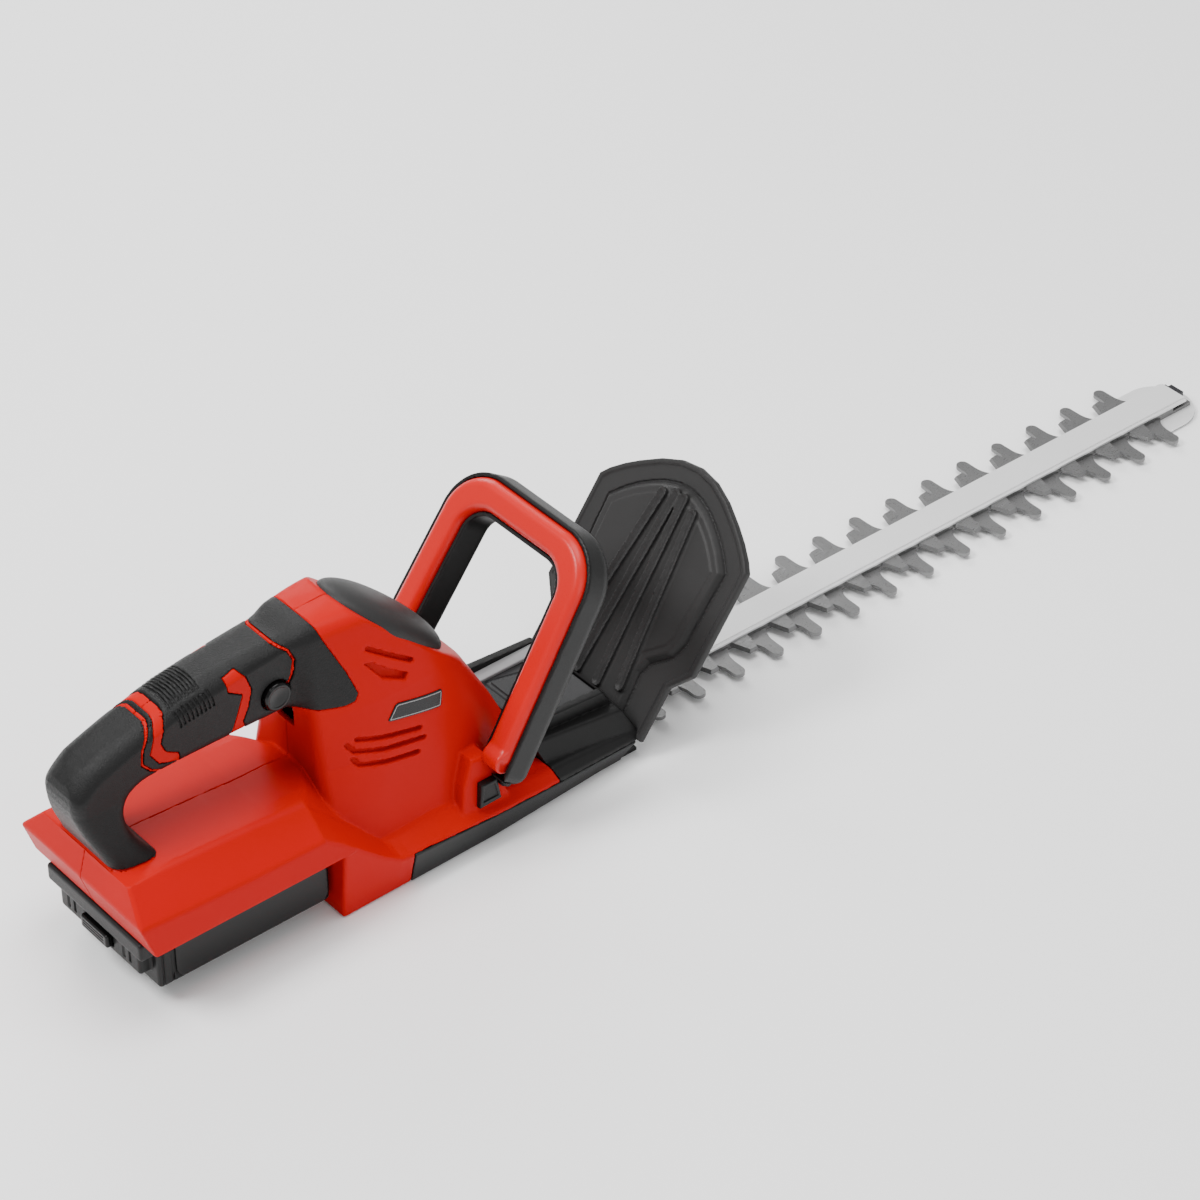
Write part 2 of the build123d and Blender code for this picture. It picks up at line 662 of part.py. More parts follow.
with BuildPart() as terminal_blades:
    for y in (-16, -6, 6, 16):
        add(box((-338, -314), (y - 0.8, y + 0.8), (43.5, 60)))
save(terminal_blades.part, "terminal_blades")

with BuildPart() as control_board:
    add(box((-405, -353), (-30, 30), (56, 57.6)))
    add(box((-398, -380), (-20, 0), (57.6, 66)))
    add(box((-372, -362), (5, 20), (57.6, 70)))
save(control_board.part, "control_board")


# ---------------------------------------------------------------- motor
save(rod(MOTOR_RADIUS, MOTOR_Z[0], MOTOR_Z[1], (MOTOR_X, 0), Plane.XY, bore=17.5), "motor_can")
save(rod(14.5, MOTOR_Z[0] + 8, MOTOR_Z[1] - 12, (MOTOR_X, 0), Plane.XY, bore=SHAFT_RADIUS), "motor_rotor")
save(rod(SHAFT_RADIUS, 22.5, 127, (MOTOR_X, 0)), "motor_shaft")

with BuildPart() as motor_bearings:
    add(rod(6.0, 42, 47, (MOTOR_X, 0), Plane.XY, bore=SHAFT_RADIUS + RUNNING))
    add(rod(6.0, MOTOR_Z[1] - 6, MOTOR_Z[1] - 1, (MOTOR_X, 0), Plane.XY, bore=SHAFT_RADIUS + RUNNING))
save(motor_bearings.part, "motor_bearings")
save(rod(17.4, MOTOR_Z[1] - 6, MOTOR_Z[1] - 1, (MOTOR_X, 0), Plane.XY, bore=6.0), "motor_end_bell")

with BuildPart() as motor_fan:
    add(rod(5.0, 119, 126, (MOTOR_X, 0), Plane.XY, bore=SHAFT_RADIUS))
    add(rod(17.0, 119, 120.5, (MOTOR_X, 0), Plane.XY, bore=SHAFT_RADIUS))
    with BuildSketch(Plane.XY.offset(120.5)):
        with Locations((MOTOR_X, 0)):
            with PolarLocations(10.5, 9):
                Rectangle(12, 1.4)
    extrude(amount=5.0)
save(motor_fan.part, "motor_fan")


# ---------------------------------------------------------------- gears and crank
def spur_gear(teeth, low, high, centre, bore, turn):
    """A spur gear with plain tapered teeth, its first tooth turned from +X by an angle in degrees."""
    pitch = GEAR_MODULE * teeth / 2
    root, tip = pitch - 1.25 * GEAR_MODULE, pitch + 0.95 * GEAR_MODULE
    with BuildPart() as gear:
        with BuildSketch(Plane.XY.offset(low)):
            with Locations(centre):
                Circle(root)
                with PolarLocations(0, teeth, start_angle=turn):
                    Polygon(
                        (root - 0.4, -0.95), (tip, -0.4), (tip, 0.4), (root - 0.4, 0.95), align=None
                    )
                Circle(bore, mode=Mode.SUBTRACT)
        extrude(amount=high - low)
    return gear.part


half_tooth = 360 / GEAR_TEETH / 2
save(spur_gear(PINION_TEETH, GEAR_Z[0] - 1, GEAR_Z[1] + 2, (MOTOR_X, 0), SHAFT_RADIUS, 0), "motor_pinion")
save(spur_gear(GEAR_TEETH, *GEAR_Z, (CRANK_X, 0), AXLE_RADIUS + RUNNING, half_tooth), "crank_gear")
save(rod(PIN_RADIUS, CUTTER_Z + 0.3, GEAR_Z[0], (CRANK_X, THROW)), "crank_pin")
save(rod(AXLE_RADIUS, GEAR_Z[0] - 0.5, 38, (CRANK_X, 0)), "crank_axle")

with BuildPart() as gearcase:
    add(box((-252, CASE_FRONT), (-39.5, 39.5), (12, 34)))
    fillet(gearcase.edges().filter_by(Axis.Z), 8)
    add(box((-247, -172), (-31, 31), (22, 40)), mode=Mode.SUBTRACT)
    add(rod(THROW + PIN_RADIUS + 1.5, 0, 30, (CRANK_X, 0)), mode=Mode.SUBTRACT)
    # arm that carries the blades
    add(box((CASE_FRONT, -100), (-11, 11), (RAIL_Z + PLATE, 23)))
    for x, y in COVER_SCREWS[:4]:
        add(rod(SCREW_RADIUS, 0, 13, (x, y)), mode=Mode.SUBTRACT)
save(gearcase.part, "gearcase")

with BuildPart() as gearcase_lid:
    add(box((-252, CASE_FRONT), (-38, 38), (34, 38)))
    fillet(gearcase_lid.edges().filter_by(Axis.Z), 8)
    add(rod(MOTOR_RADIUS, 38, MOTOR_Z[0], (MOTOR_X, 0)))
    add(rod(6.0, 42, 60, (MOTOR_X, 0)), mode=Mode.SUBTRACT)
    add(rod(4.0, 30, 60, (MOTOR_X, 0)), mode=Mode.SUBTRACT)
    add(rod(AXLE_RADIUS, 30, 60, (CRANK_X, 0)), mode=Mode.SUBTRACT)
save(gearcase_lid.part, "gearcase_lid")


# ---------------------------------------------------------------- blades
def both_sides(points):
    """A tooth's outline on the left and its mirror on the right."""
    return [points[::-1], [(x, -y) for x, y in points]]


NOSE_BOLT = 416.0
RAIL_BOLTS = [-120.0] + [-40.0 + 76.0 * i for i in range(6)] + [NOSE_BOLT]
BOLT_RADIUS = 2.0
YOKE_HALF = 22.0
WINDOW_X = THROW + PIN_RADIUS + THROW + 0.5
WINDOW_Y = THROW + PIN_RADIUS + 0.5
CUTTER_END = 424.0
COMB_END = 441.0

with BuildPart() as comb_blade:
    with BuildSketch(Plane.XY.offset(COMB_Z)):
        with Locations(((COMB_END - 228) / 2, 0)):
            Rectangle(COMB_END + 228, 2 * BLADE_HALF)
        for n in range(TEETH):
            x = FIRST_TOOTH + n * PITCH
            for side in (1, -1):
                with BuildLine():
                    root = Spline((x + 10, side * 11.5), (x + 4.6, side * 17), (x + 2.4, side * 25))
                    front = Line(root @ 1, (x + 2.3, side * 33.5))
                    tip = ThreePointArc(front @ 1, (x - 1.9, side * 37.7), (x - 6.2, side * 33.5))
                    rear = Line(tip @ 1, (x - 6.3, side * 27))
                    Spline(rear @ 1, (x - 8.4, side * 21), (x - 14, side * 11.5))
                    Line((x - 14, side * 11.5), (x + 10, side * 11.5))
                make_face()
        with Locations(*[(x, 0) for x in RAIL_BOLTS]):
            Circle(BOLT_RADIUS, mode=Mode.SUBTRACT)
    extrude(amount=PLATE)
save(comb_blade.part, "comb_blade")

with BuildPart() as cutter_blade:
    with BuildSketch(Plane.XY.offset(CUTTER_Z)):
        with Locations(((CUTTER_END - 178) / 2, 0)):
            Rectangle(CUTTER_END + 178, 2 * BLADE_HALF)
        with Locations((CRANK_X, 0)):
            Rectangle(2 * WINDOW_X + 14, 2 * YOKE_HALF)
            Rectangle(2 * WINDOW_X, 2 * WINDOW_Y, mode=Mode.SUBTRACT)
        with Locations(*[(x, 0) for x in RAIL_BOLTS]):
            SlotOverall(2 * THROW + 2 * BOLT_RADIUS + 1.5, 2 * BOLT_RADIUS + 0.7, mode=Mode.SUBTRACT)
    extrude(amount=PLATE)
    for n in range(TEETH):
        x = FIRST_TOOTH + n * PITCH
        for outline in both_sides([(-22.5, 11), (-17.3, 26), (-10.3, 26.3), (-8.7, 20.8), (-6.5, 11)]):
            with BuildSketch(Plane.XY.offset(CUTTER_Z)):
                with BuildLine():
                    Polyline(*[(x + dx, y) for dx, y in outline], close=True)
                make_face()
            extrude(amount=PLATE, taper=25)
save(cutter_blade.part, "cutter_blade")

with BuildPart() as blade_rail:
    add(box((-150, RAIL_END), (-BLADE_HALF, BLADE_HALF), (RAIL_Z, RAIL_Z + 1.3)))
    add(box((-150, RAIL_END), (-RAIL_CROWN, RAIL_CROWN), (RAIL_Z + 1.3, RAIL_Z + PLATE)))
    for x in RAIL_BOLTS:
        add(rod(BOLT_RADIUS, RAIL_Z, RAIL_Z + 1.6, (x, 0)), mode=Mode.SUBTRACT)
save(blade_rail.part, "blade_rail")

with BuildPart() as rail_bolts:
    for x in RAIL_BOLTS:
        add(rod(BOLT_RADIUS, COMB_Z, RAIL_Z + 1.6, (x, 0)))
        add(rod(2 * BOLT_RADIUS, COMB_Z - 1.5, COMB_Z, (x, 0)))
save(rail_bolts.part, "rail_bolts")

with BuildPart() as blade_nose:
    with BuildSketch(Plane.XY.offset(COMB_Z - 1.5)):
        with Locations((NOSE_END - NOSE_RADIUS, 0)):
            Circle(NOSE_RADIUS)
        with Locations(((402 + NOSE_END - NOSE_RADIUS) / 2, 0)):
            Rectangle(NOSE_END - NOSE_RADIUS - 402, 2 * NOSE_RADIUS)
        with Locations((NOSE_BOLT, 0)):
            Circle(2 * BOLT_RADIUS, mode=Mode.SUBTRACT)
    extrude(amount=1.5)
save(blade_nose.part, "blade_nose")

with BuildPart() as rail_end_clip:
    add(box((RAIL_END, RAIL_END + 4), (-5.5, 5.5), (CUTTER_Z, RAIL_Z + PLATE)))
    add(box((RAIL_END, RAIL_END + 1), (-8.2, 8.2), (CUTTER_Z, RAIL_Z + PLATE)))
save(rail_end_clip.part, "rail_end_clip")
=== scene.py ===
import math

import bpy
import numpy as np
from mathutils import Matrix


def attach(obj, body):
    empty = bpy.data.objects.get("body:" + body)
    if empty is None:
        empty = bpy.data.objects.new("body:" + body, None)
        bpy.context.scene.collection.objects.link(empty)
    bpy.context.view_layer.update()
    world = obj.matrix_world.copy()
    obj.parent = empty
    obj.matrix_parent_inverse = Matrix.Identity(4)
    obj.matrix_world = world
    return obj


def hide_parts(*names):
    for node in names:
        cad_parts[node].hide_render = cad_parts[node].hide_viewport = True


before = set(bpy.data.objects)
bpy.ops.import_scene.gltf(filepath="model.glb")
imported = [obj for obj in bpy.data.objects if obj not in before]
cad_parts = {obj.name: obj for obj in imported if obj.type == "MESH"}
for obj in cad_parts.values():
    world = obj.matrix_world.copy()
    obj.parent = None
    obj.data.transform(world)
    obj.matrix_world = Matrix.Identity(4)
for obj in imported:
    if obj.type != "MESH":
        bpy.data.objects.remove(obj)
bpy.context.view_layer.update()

# All shapes below are written in millimetres in the part's own frame and turned into metres when meshed.
MM = 0.001


# ------------------------------------------------------------------ distance-field helpers
def rmax(a, b, r=0.0):
    """Intersection with a rounded edge of radius r."""
    if r <= 0:
        return np.maximum(a, b)
    u, v = np.maximum(a + r, 0), np.maximum(b + r, 0)
    return np.minimum(np.maximum(a, b), -r) + np.sqrt(u * u + v * v)


def rmin(a, b, r=0.0):
    """Union with a fillet of radius r."""
    return -rmax(-a, -b, r)


def cut(a, b, r=0.0):
    """a without b."""
    return rmax(a, -b, r)


def slab(t, low, high):
    return np.maximum(low - t, t - high)


def block(x, y, z, xs, ys, zs, r=0.0):
    """Box from (low, high) pairs with rounded edges."""
    qx = np.abs(x - (xs[0] + xs[1]) / 2) - (xs[1] - xs[0]) / 2 + r
    qy = np.abs(y - (ys[0] + ys[1]) / 2) - (ys[1] - ys[0]) / 2 + r
    qz = np.abs(z - (zs[0] + zs[1]) / 2) - (zs[1] - zs[0]) / 2 + r
    outside = np.sqrt(np.maximum(qx, 0) ** 2 + np.maximum(qy, 0) ** 2 + np.maximum(qz, 0) ** 2)
    return outside + np.minimum(np.maximum(np.maximum(qx, qy), qz), 0) - r


def poly(u, v, points):
    """Exact distance to a closed polygon in two dimensions."""
    d = np.full(np.shape(u), 1e9, dtype=np.float32)
    sign = np.ones(np.shape(u), dtype=np.float32)
    n = len(points)
    for i in range(n):
        ax, ay = points[i]
        bx, by = points[(i + 1) % n]
        ex, ey = bx - ax, by - ay
        wx, wy = u - ax, v - ay
        t = np.clip((wx * ex + wy * ey) / (ex * ex + ey * ey), 0, 1)
        dx, dy = wx - ex * t, wy - ey * t
        d = np.minimum(d, dx * dx + dy * dy)
        c1, c2 = v >= ay, v < by
        c3 = ex * wy > ey * wx
        flip = (c1 & c2 & c3) | (~c1 & ~c2 & ~c3)
        sign = np.where(flip, -sign, sign)
    return sign * np.sqrt(d)


def curve_points(points, steps=5):
    """Closed Catmull-Rom curve through points."""
    p = np.array(points, dtype=float)
    n = len(p)
    out = []
    for i in range(n):
        p0, p1, p2, p3 = p[i - 1], p[i], p[(i + 1) % n], p[(i + 2) % n]
        for t in np.arange(steps) / steps:
            out.append(0.5 * (2 * p1 + (p2 - p0) * t + (2 * p0 - 5 * p1 + 4 * p2 - p3) * t * t
                              + (3 * p1 - p0 - 3 * p2 + p3) * t ** 3))
    return [tuple(q) for q in out]


def line(u, v, a, b, width):
    """A round-ended stroke from a to b."""
    ex, ey = b[0] - a[0], b[1] - a[1]
    wx, wy = u - a[0], v - a[1]
    t = np.clip((wx * ex + wy * ey) / (ex * ex + ey * ey), 0, 1)
    return np.hypot(wx - ex * t, wy - ey * t) - width


def path(u, v, points, width):
    """A round-jointed stroke along points."""
    d = line(u, v, points[0], points[1], width)
    for a, b in zip(points[1:-1], points[2:]):
        d = np.minimum(d, line(u, v, a, b, width))
    return d


def tube(x, y, z, centre, axis, radius, low, high, r=0.0):
    """Cylinder along x, y or z between two ends."""
    c = {"x": x, "y": y, "z": z}
    others = [k for k in "xyz" if k != axis]
    radial = np.hypot(c[others[0]] - centre[0], c[others[1]] - centre[1]) - radius
    return rmax(radial, slab(c[axis], low, high), r)


# ------------------------------------------------------------------ surface nets
def net(f, low, high, h):
    """Polygonise f < 0 inside a box with voxel h. Returns vertices and quads."""
    B = 8
    low = np.array(low, dtype=float) - 2 * h
    high = np.array(high, dtype=float) + 2 * h
    nb = np.ceil((high - low) / (h * B)).astype(int)
    cx, cy, cz = [low[i] + (np.arange(nb[i]) + 0.5) * B * h - h / 2 for i in range(3)]
    X, Y, Z = np.meshgrid(cx, cy, cz, indexing="ij")
    coarse = f(X.ravel().astype(np.float32), Y.ravel().astype(np.float32), Z.ravel().astype(np.float32))
    coarse = coarse.reshape(nb)
    V = np.empty((nb[0], B, nb[1], B, nb[2], B), dtype=np.float32)
    V[:] = (np.sign(coarse) * 100)[:, None, :, None, :, None]
    view = V.transpose(0, 2, 4, 1, 3, 5)
    kept = np.argwhere(np.abs(coarse) < B * h * 1.3 + 1.0)
    o = np.arange(B)
    for start in range(0, len(kept), 1500):
        k = kept[start:start + 1500]
        px = low[0] + (k[:, 0, None, None, None] * B + o[None, :, None, None]) * h
        py = low[1] + (k[:, 1, None, None, None] * B + o[None, None, :, None]) * h
        pz = low[2] + (k[:, 2, None, None, None] * B + o[None, None, None, :]) * h
        px, py, pz = [np.broadcast_to(q, (len(k), B, B, B)).reshape(-1).astype(np.float32) for q in (px,
                                                                                                     py,
                                                                                                     pz)]
        view[k[:, 0], k[:, 1], k[:, 2]] = f(px, py, pz).reshape(len(k), B, B, B)
    V = V.reshape(nb[0] * B, nb[1] * B, nb[2] * B)
    ins = V < 0
    corners = [(a, b, c) for a in (0, 1) for b in (0, 1) for c in (0, 1)]
    s = np.zeros(np.array(V.shape) - 1, dtype=np.int8)
    for a, b, c in corners:
        s += ins[a:a + s.shape[0], b:b + s.shape[1], c:c + s.shape[2]]
    active = (s > 0) & (s < 8)
    cell = np.argwhere(active)
    index = np.full(s.shape, -1, dtype=np.int64)
    index[active] = np.arange(len(cell))
    values = {c: V[cell[:, 0] + c[0], cell[:, 1] + c[1], cell[:, 2] + c[2]] for c in corners}
    total = np.zeros((len(cell), 3))
    count = np.zeros(len(cell))
    for c in corners:
        for axis in range(3):
            if c[axis]:
                continue
            d = list(c)
            d[axis] = 1
            v0, v1 = values[c], values[tuple(d)]
            hit = (v0 < 0) != (v1 < 0)
            t = np.where(hit, v0 / np.where(hit, v0 - v1, 1), 0)
            point = np.array(c, dtype=float)[None, :].repeat(len(cell), 0)
            point[:, axis] = t
            total += point * hit[:, None]
            count += hit
    verts = low + (cell + total / count[:, None]) * h
    quads = []
    for axis in range(3):
        sl0 = [slice(None)] * 3
        sl1 = [slice(None)] * 3
        sl0[axis], sl1[axis] = slice(0, -1), slice(1, None)
        a, b = ins[tuple(sl0)], ins[tuple(sl1)]
        e = np.argwhere(a != b)
        other = [i for i in range(3) if i != axis]
        ok = np.all(e[:, other] > 0, axis=1) & np.all(e[:, other] < np.array(s.shape)[other], axis=1)
        e = e[ok]
        q = []
        for du, dv in ((1, 1), (0, 1), (0, 0), (1, 0)):
            g = e.copy()
            g[:, other[0]] -= du
            g[:, other[1]] -= dv
            q.append(index[g[:, 0], g[:, 1], g[:, 2]])
        q = np.stack(q, 1)
        flip = ~a[e[:, 0], e[:, 1], e[:, 2]]
        if axis == 1:
            flip = ~flip
        q[flip] = q[flip][:, ::-1]
        quads.append(q)
    quads = np.concatenate(quads)
    quads = quads[np.all(quads >= 0, axis=1)]
    # settle the vertices on the surface
    p = verts.astype(np.float32)
    for _ in range(3):
        x, y, z = p[:, 0].copy(), p[:, 1].copy(), p[:, 2].copy()
        e = np.float32(0.06)
        d = f(x, y, z)
        g = np.stack([f(x + e, y, z) - f(x - e, y, z), f(x, y + e, z) - f(x, y - e, z),
                      f(x, y, z + e) - f(x, y, z - e)], 1) / (2 * e)
        n2 = np.maximum((g * g).sum(1), 0.25)
        step = np.clip(d / n2, -0.5 * h, 0.5 * h)
        p = p - g * step[:, None]
    return p, quads


def to_object(name, verts, quads, keep=1.0):
    """A smooth-shaded mesh object from vertices in mm, thinned to a share of its faces."""
    mesh = bpy.data.meshes.new(name)
    mesh.vertices.add(len(verts))
    mesh.vertices.foreach_set("co", (verts * MM).astype(np.float32).ravel())
    mesh.loops.add(quads.size)
    mesh.loops.foreach_set("vertex_index", quads.ravel().astype(np.int32))
    mesh.polygons.add(len(quads))
    mesh.polygons.foreach_set("loop_start", np.arange(0, quads.size, quads.shape[1], dtype=np.int32))
    mesh.update(calc_edges=True)
    mesh.validate()
    obj = bpy.data.objects.new(name, mesh)
    bpy.context.scene.collection.objects.link(obj)
    if keep < 1.0:
        thin = obj.modifiers.new("thin", "DECIMATE")
        thin.ratio = keep
        bpy.context.view_layer.update()
        done = bpy.data.meshes.new_from_object(obj.evaluated_get(bpy.context.evaluated_depsgraph_get()))
        obj.modifiers.clear()
        obj.data = done
        bpy.data.meshes.remove(mesh)
        done.name = name
    obj.data.shade_smooth()
    obj.data.set_sharp_from_angle(angle=math.radians(32))
    even = obj.modifiers.new("even", "WEIGHTED_NORMAL")
    even.keep_sharp = True
    even.weight = 80
    return obj


def solid(name, f, low, high, h, body, material, nodes=(), keep=0.5):
    verts, quads = net(f, low, high, h)
    obj = to_object(name, verts, quads, keep)
    obj.data.materials.append(material)
    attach(obj, body)
    if nodes:
        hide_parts(*nodes)
    print(name, len(obj.data.polygons), "faces")
    return obj


# ------------------------------------------------------------------ materials
def material(name, colour, rough=0.4, metal=0.0, grain=0.0, grain_scale=900.0, tint=0.06, tint_scale=14.0,
             coat=0.0, rough_vary=0.06, brush=None, sheen=0.0, specular=0.5):
    """Procedural material: base colour drift, roughness variation and a moulded or brushed surface."""
    mat = bpy.data.materials.new(name)
    mat.use_nodes = True
    nt = mat.node_tree
    nt.nodes.clear()
    out = nt.nodes.new("ShaderNodeOutputMaterial")
    bsdf = nt.nodes.new("ShaderNodeBsdfPrincipled")
    nt.links.new(bsdf.outputs[0], out.inputs[0])
    bsdf.inputs["Metallic"].default_value = metal
    bsdf.inputs["Coat Weight"].default_value = coat
    bsdf.inputs["Coat Roughness"].default_value = 0.15
    bsdf.inputs["Specular IOR Level"].default_value = specular
    bsdf.inputs["Sheen Weight"].default_value = sheen
    coord = nt.nodes.new("ShaderNodeTexCoord")
    mapping = nt.nodes.new("ShaderNodeMapping")
    nt.links.new(coord.outputs["Object"], mapping.inputs[0])
    if brush:
        mapping.inputs["Scale"].default_value = brush
    drift = nt.nodes.new("ShaderNodeTexNoise")
    drift.inputs["Scale"].default_value = tint_scale
    drift.inputs["Detail"].default_value = 4.0
    nt.links.new(coord.outputs["Object"], drift.inputs["Vector"])
    ramp = nt.nodes.new("ShaderNodeMix")
    ramp.data_type = "RGBA"
    dark = [c * (1 - tint) for c in colour]
    light = [min(1.0, c * (1 + tint)) for c in colour]
    ramp.inputs[6].default_value = (*dark, 1)
    ramp.inputs[7].default_value = (*light, 1)
    nt.links.new(drift.outputs["Fac"], ramp.inputs[0])
    nt.links.new(ramp.outputs[2], bsdf.inputs["Base Color"])
    fine = nt.nodes.new("ShaderNodeTexNoise")
    fine.inputs["Scale"].default_value = grain_scale
    fine.inputs["Detail"].default_value = 3.0
    nt.links.new(mapping.outputs[0], fine.inputs["Vector"])
    spread = nt.nodes.new("ShaderNodeMapRange")
    spread.inputs["From Min"].default_value = 0.3
    spread.inputs["From Max"].default_value = 0.7
    spread.inputs["To Min"].default_value = max(0.02, rough - rough_vary)
    spread.inputs["To Max"].default_value = rough + rough_vary
    nt.links.new(fine.outputs["Fac"], spread.inputs[0])
    nt.links.new(spread.outputs[0], bsdf.inputs["Roughness"])
    if grain:
        bump = nt.nodes.new("ShaderNodeBump")
        bump.inputs["Strength"].default_value = grain
        bump.inputs["Distance"].default_value = 0.0004
        nt.links.new(fine.outputs["Fac"], bump.inputs["Height"])
        nt.links.new(bump.outputs[0], bsdf.inputs["Normal"])
    return mat


RED = material("red_plastic", (0.44, 0.002, 0.0015), rough=0.42, grain=0.12, grain_scale=1500, tint=0.05,
               specular=0.07)
BAIL_RED = material("bail_red", (0.50, 0.004, 0.003), rough=0.33, grain=0.05, grain_scale=1500, tint=0.04,
                    specular=0.3)
BLACK = material("black_plastic", (0.004, 0.004, 0.004), rough=0.42, grain=0.25, grain_scale=1800,
                 tint=0.12,
                 specular=0.25)
GUARD_BLACK = material("guard_plastic", (0.021, 0.0205, 0.0205), rough=0.5, grain=0.3, grain_scale=2200,
                       tint=0.08,
                       specular=0.22)
GLOSS = material("gloss_black", (0.003, 0.003, 0.003), rough=0.16, grain=0.02, grain_scale=1200, tint=0.1,
                 specular=0.25)
RUBBER = material("grip_rubber", (0.004, 0.004, 0.004), rough=0.44, grain=0.9, grain_scale=1300, tint=0.12,
                  rough_vary=0.14, specular=0.22)
GREY = material("grey_plastic", (0.022, 0.022, 0.023), rough=0.5, grain=0.2, grain_scale=1800, tint=0.06,
                specular=0.25)
# pale tone: the label's printed rim, and also the painted highlight strip on the gear plate's far chamfer
PALE_PRINT_AND_HIGHLIGHT = material("pale_print_and_highlight", (0.26, 0.26, 0.265), rough=0.4, grain=0.1, grain_scale=1800, tint=0.04,
                specular=0.3)
STEEL = material("ground_steel", (0.20, 0.20, 0.20), rough=0.36, metal=0.85, grain=0.5, grain_scale=60,
                 brush=(6, 50, 50), tint=0.16, rough_vary=0.12)
RAIL = material("bright_rail", (0.82, 0.82, 0.82), rough=0.36, metal=0.4, grain=0.2, grain_scale=50,
                brush=(1.5, 60, 60), tint=0.03, rough_vary=0.06)
DARK = material("dark_metal", (0.05, 0.05, 0.055), rough=0.38, metal=0.8, grain=0.3, grain_scale=1200,
                tint=0.1)
COPPER = material("copper", (0.72, 0.42, 0.22), rough=0.3, metal=0.9, grain=0.2, grain_scale=900)
BOARD = material("board_green", (0.02, 0.16, 0.06), rough=0.4, grain=0.2, grain_scale=700)
WRAP = material("cell_wrap", (0.03, 0.16, 0.42), rough=0.3, grain=0.1, grain_scale=900)
CAST = material("die_cast", (0.45, 0.46, 0.47), rough=0.48, metal=0.8, grain=0.5, grain_scale=700)
LABEL = material("label_plate", (0.004, 0.004, 0.0045), rough=0.28, grain=0.03, grain_scale=900,
                 specular=0.3)
FLOOR = material("studio_floor", (0.95, 0.95, 0.95), rough=0.75, grain=0.05, grain_scale=90, tint=0.004)


# ------------------------------------------------------------------ camera, light and floor
AZIMUTH, ELEVATION = math.radians(-39.93), math.radians(37.63)
right = (math.cos(AZIMUTH), math.sin(AZIMUTH), 0.0)
back = (math.sin(AZIMUTH) * math.cos(ELEVATION), -math.cos(AZIMUTH) * math.cos(ELEVATION),
        math.sin(ELEVATION))
up = (-math.sin(AZIMUTH) * math.sin(ELEVATION), math.cos(AZIMUTH) * math.sin(ELEVATION),
      math.cos(ELEVATION))
camera = bpy.data.objects.new("camera", bpy.data.cameras.new("camera"))
bpy.context.scene.collection.objects.link(camera)
camera.data.lens = 118.28
camera.data.sensor_width = 36.0
camera.data.clip_start = 0.05
place = Matrix(((right[0], up[0], back[0], -1.2595), (right[1], up[1], back[1], -1.4266),
                (right[2], up[2], back[2], 1.5147), (0, 0, 0, 1)))
camera.matrix_world = place
bpy.context.scene.camera = camera


def area_light(name, location, target, size, power, colour=(1, 1, 1)):
    data = bpy.data.lights.new(name, "AREA")
    data.shape = "DISK"
    data.size = size
    data.energy = power
    data.color = colour
    lamp = bpy.data.objects.new(name, data)
    bpy.context.scene.collection.objects.link(lamp)
    aim = Matrix.Translation(location).to_translation() - Matrix.Translation(target).to_translation()
    lamp.location = location
    lamp.rotation_euler = aim.to_track_quat("Z", "Y").to_euler()
    return lamp


area_light("key", (-1.5, 0.5, 2.0), (-0.15, 0, 0.05), 0.9, 54)
area_light("front_fill", (-0.6, -2.2, 1.2), (-0.1, 0, 0.05), 1.4, 11)
area_light("far_rim", (0.6, 1.9, 1.3), (0.0, 0, 0.05), 1.2, 26)
area_light("top", (0.1, -0.1, 2.4), (0.0, 0, 0.0), 1.6, 44)

world = bpy.data.worlds.new("studio")
bpy.context.scene.world = world
world.use_nodes = True
world.node_tree.nodes["Background"].inputs[0].default_value = (1, 1, 1, 1)
world.node_tree.nodes["Background"].inputs[1].default_value = 0.64

floor_mesh = bpy.data.meshes.new("studio_floor")
n_side, half_side = 24, 4.0
grid_verts = [(-half_side + 2 * half_side * i / n_side, -half_side + 2 * half_side * j / n_side, -0.0006)
              for i in range(n_side + 1) for j in range(n_side + 1)]
grid_faces = [(i * (n_side + 1) + j, (i + 1) * (n_side + 1) + j, (i + 1) * (n_side + 1) + j + 1,
               i * (n_side + 1) + j + 1)
              for i in range(n_side) for j in range(n_side)]
floor_mesh.from_pydata(grid_verts, [], grid_faces)
floor = bpy.data.objects.new("studio_floor", floor_mesh)
bpy.context.scene.collection.objects.link(floor)
floor_mesh.materials.append(FLOOR)


# ------------------------------------------------------------------ body: tail, base and motor hump
TAN_CAP = 0.933
CAP_C, CAP_S = math.cos(math.atan(TAN_CAP)), math.sin(math.atan(TAN_CAP))
CAP_X, CAP_Z = -228.0, 150.0


def cap_frame(x, z):
    """Along the cap's slope (downhill forwards) and out of its seat."""
    return (x - CAP_X) * CAP_C - (z - CAP_Z) * CAP_S, (x - CAP_X) * CAP_S + (z - CAP_Z) * CAP_C


DECK_X = [-440, -432, -350.6, -313, -290, -266, -230, -183, -147, -77]
DECK_Z = [92.2, 91.7, 87.1, 83.8, 60, 35.6, 35.6, 30.3, 26.6, 20]
DECK_Y = [40, 40, 40, 40, 40, 40.5, 45, 50, 52, 48]
RIDGE_X = [-440, -437.8, -365.5, -314, -300.8, -273.6, -261.8, -255.3, -190, -145, -77]
RIDGE_Z = [72.8, 72.6, 68.8, 68.4, 57.9, 33.6, 25.4, 24.1, 21.9, 18.5, 13.5]
RIDGE_Y = [59, 59, 59, 59, 59, 59, 59, 59, 59, 57, 52.5]


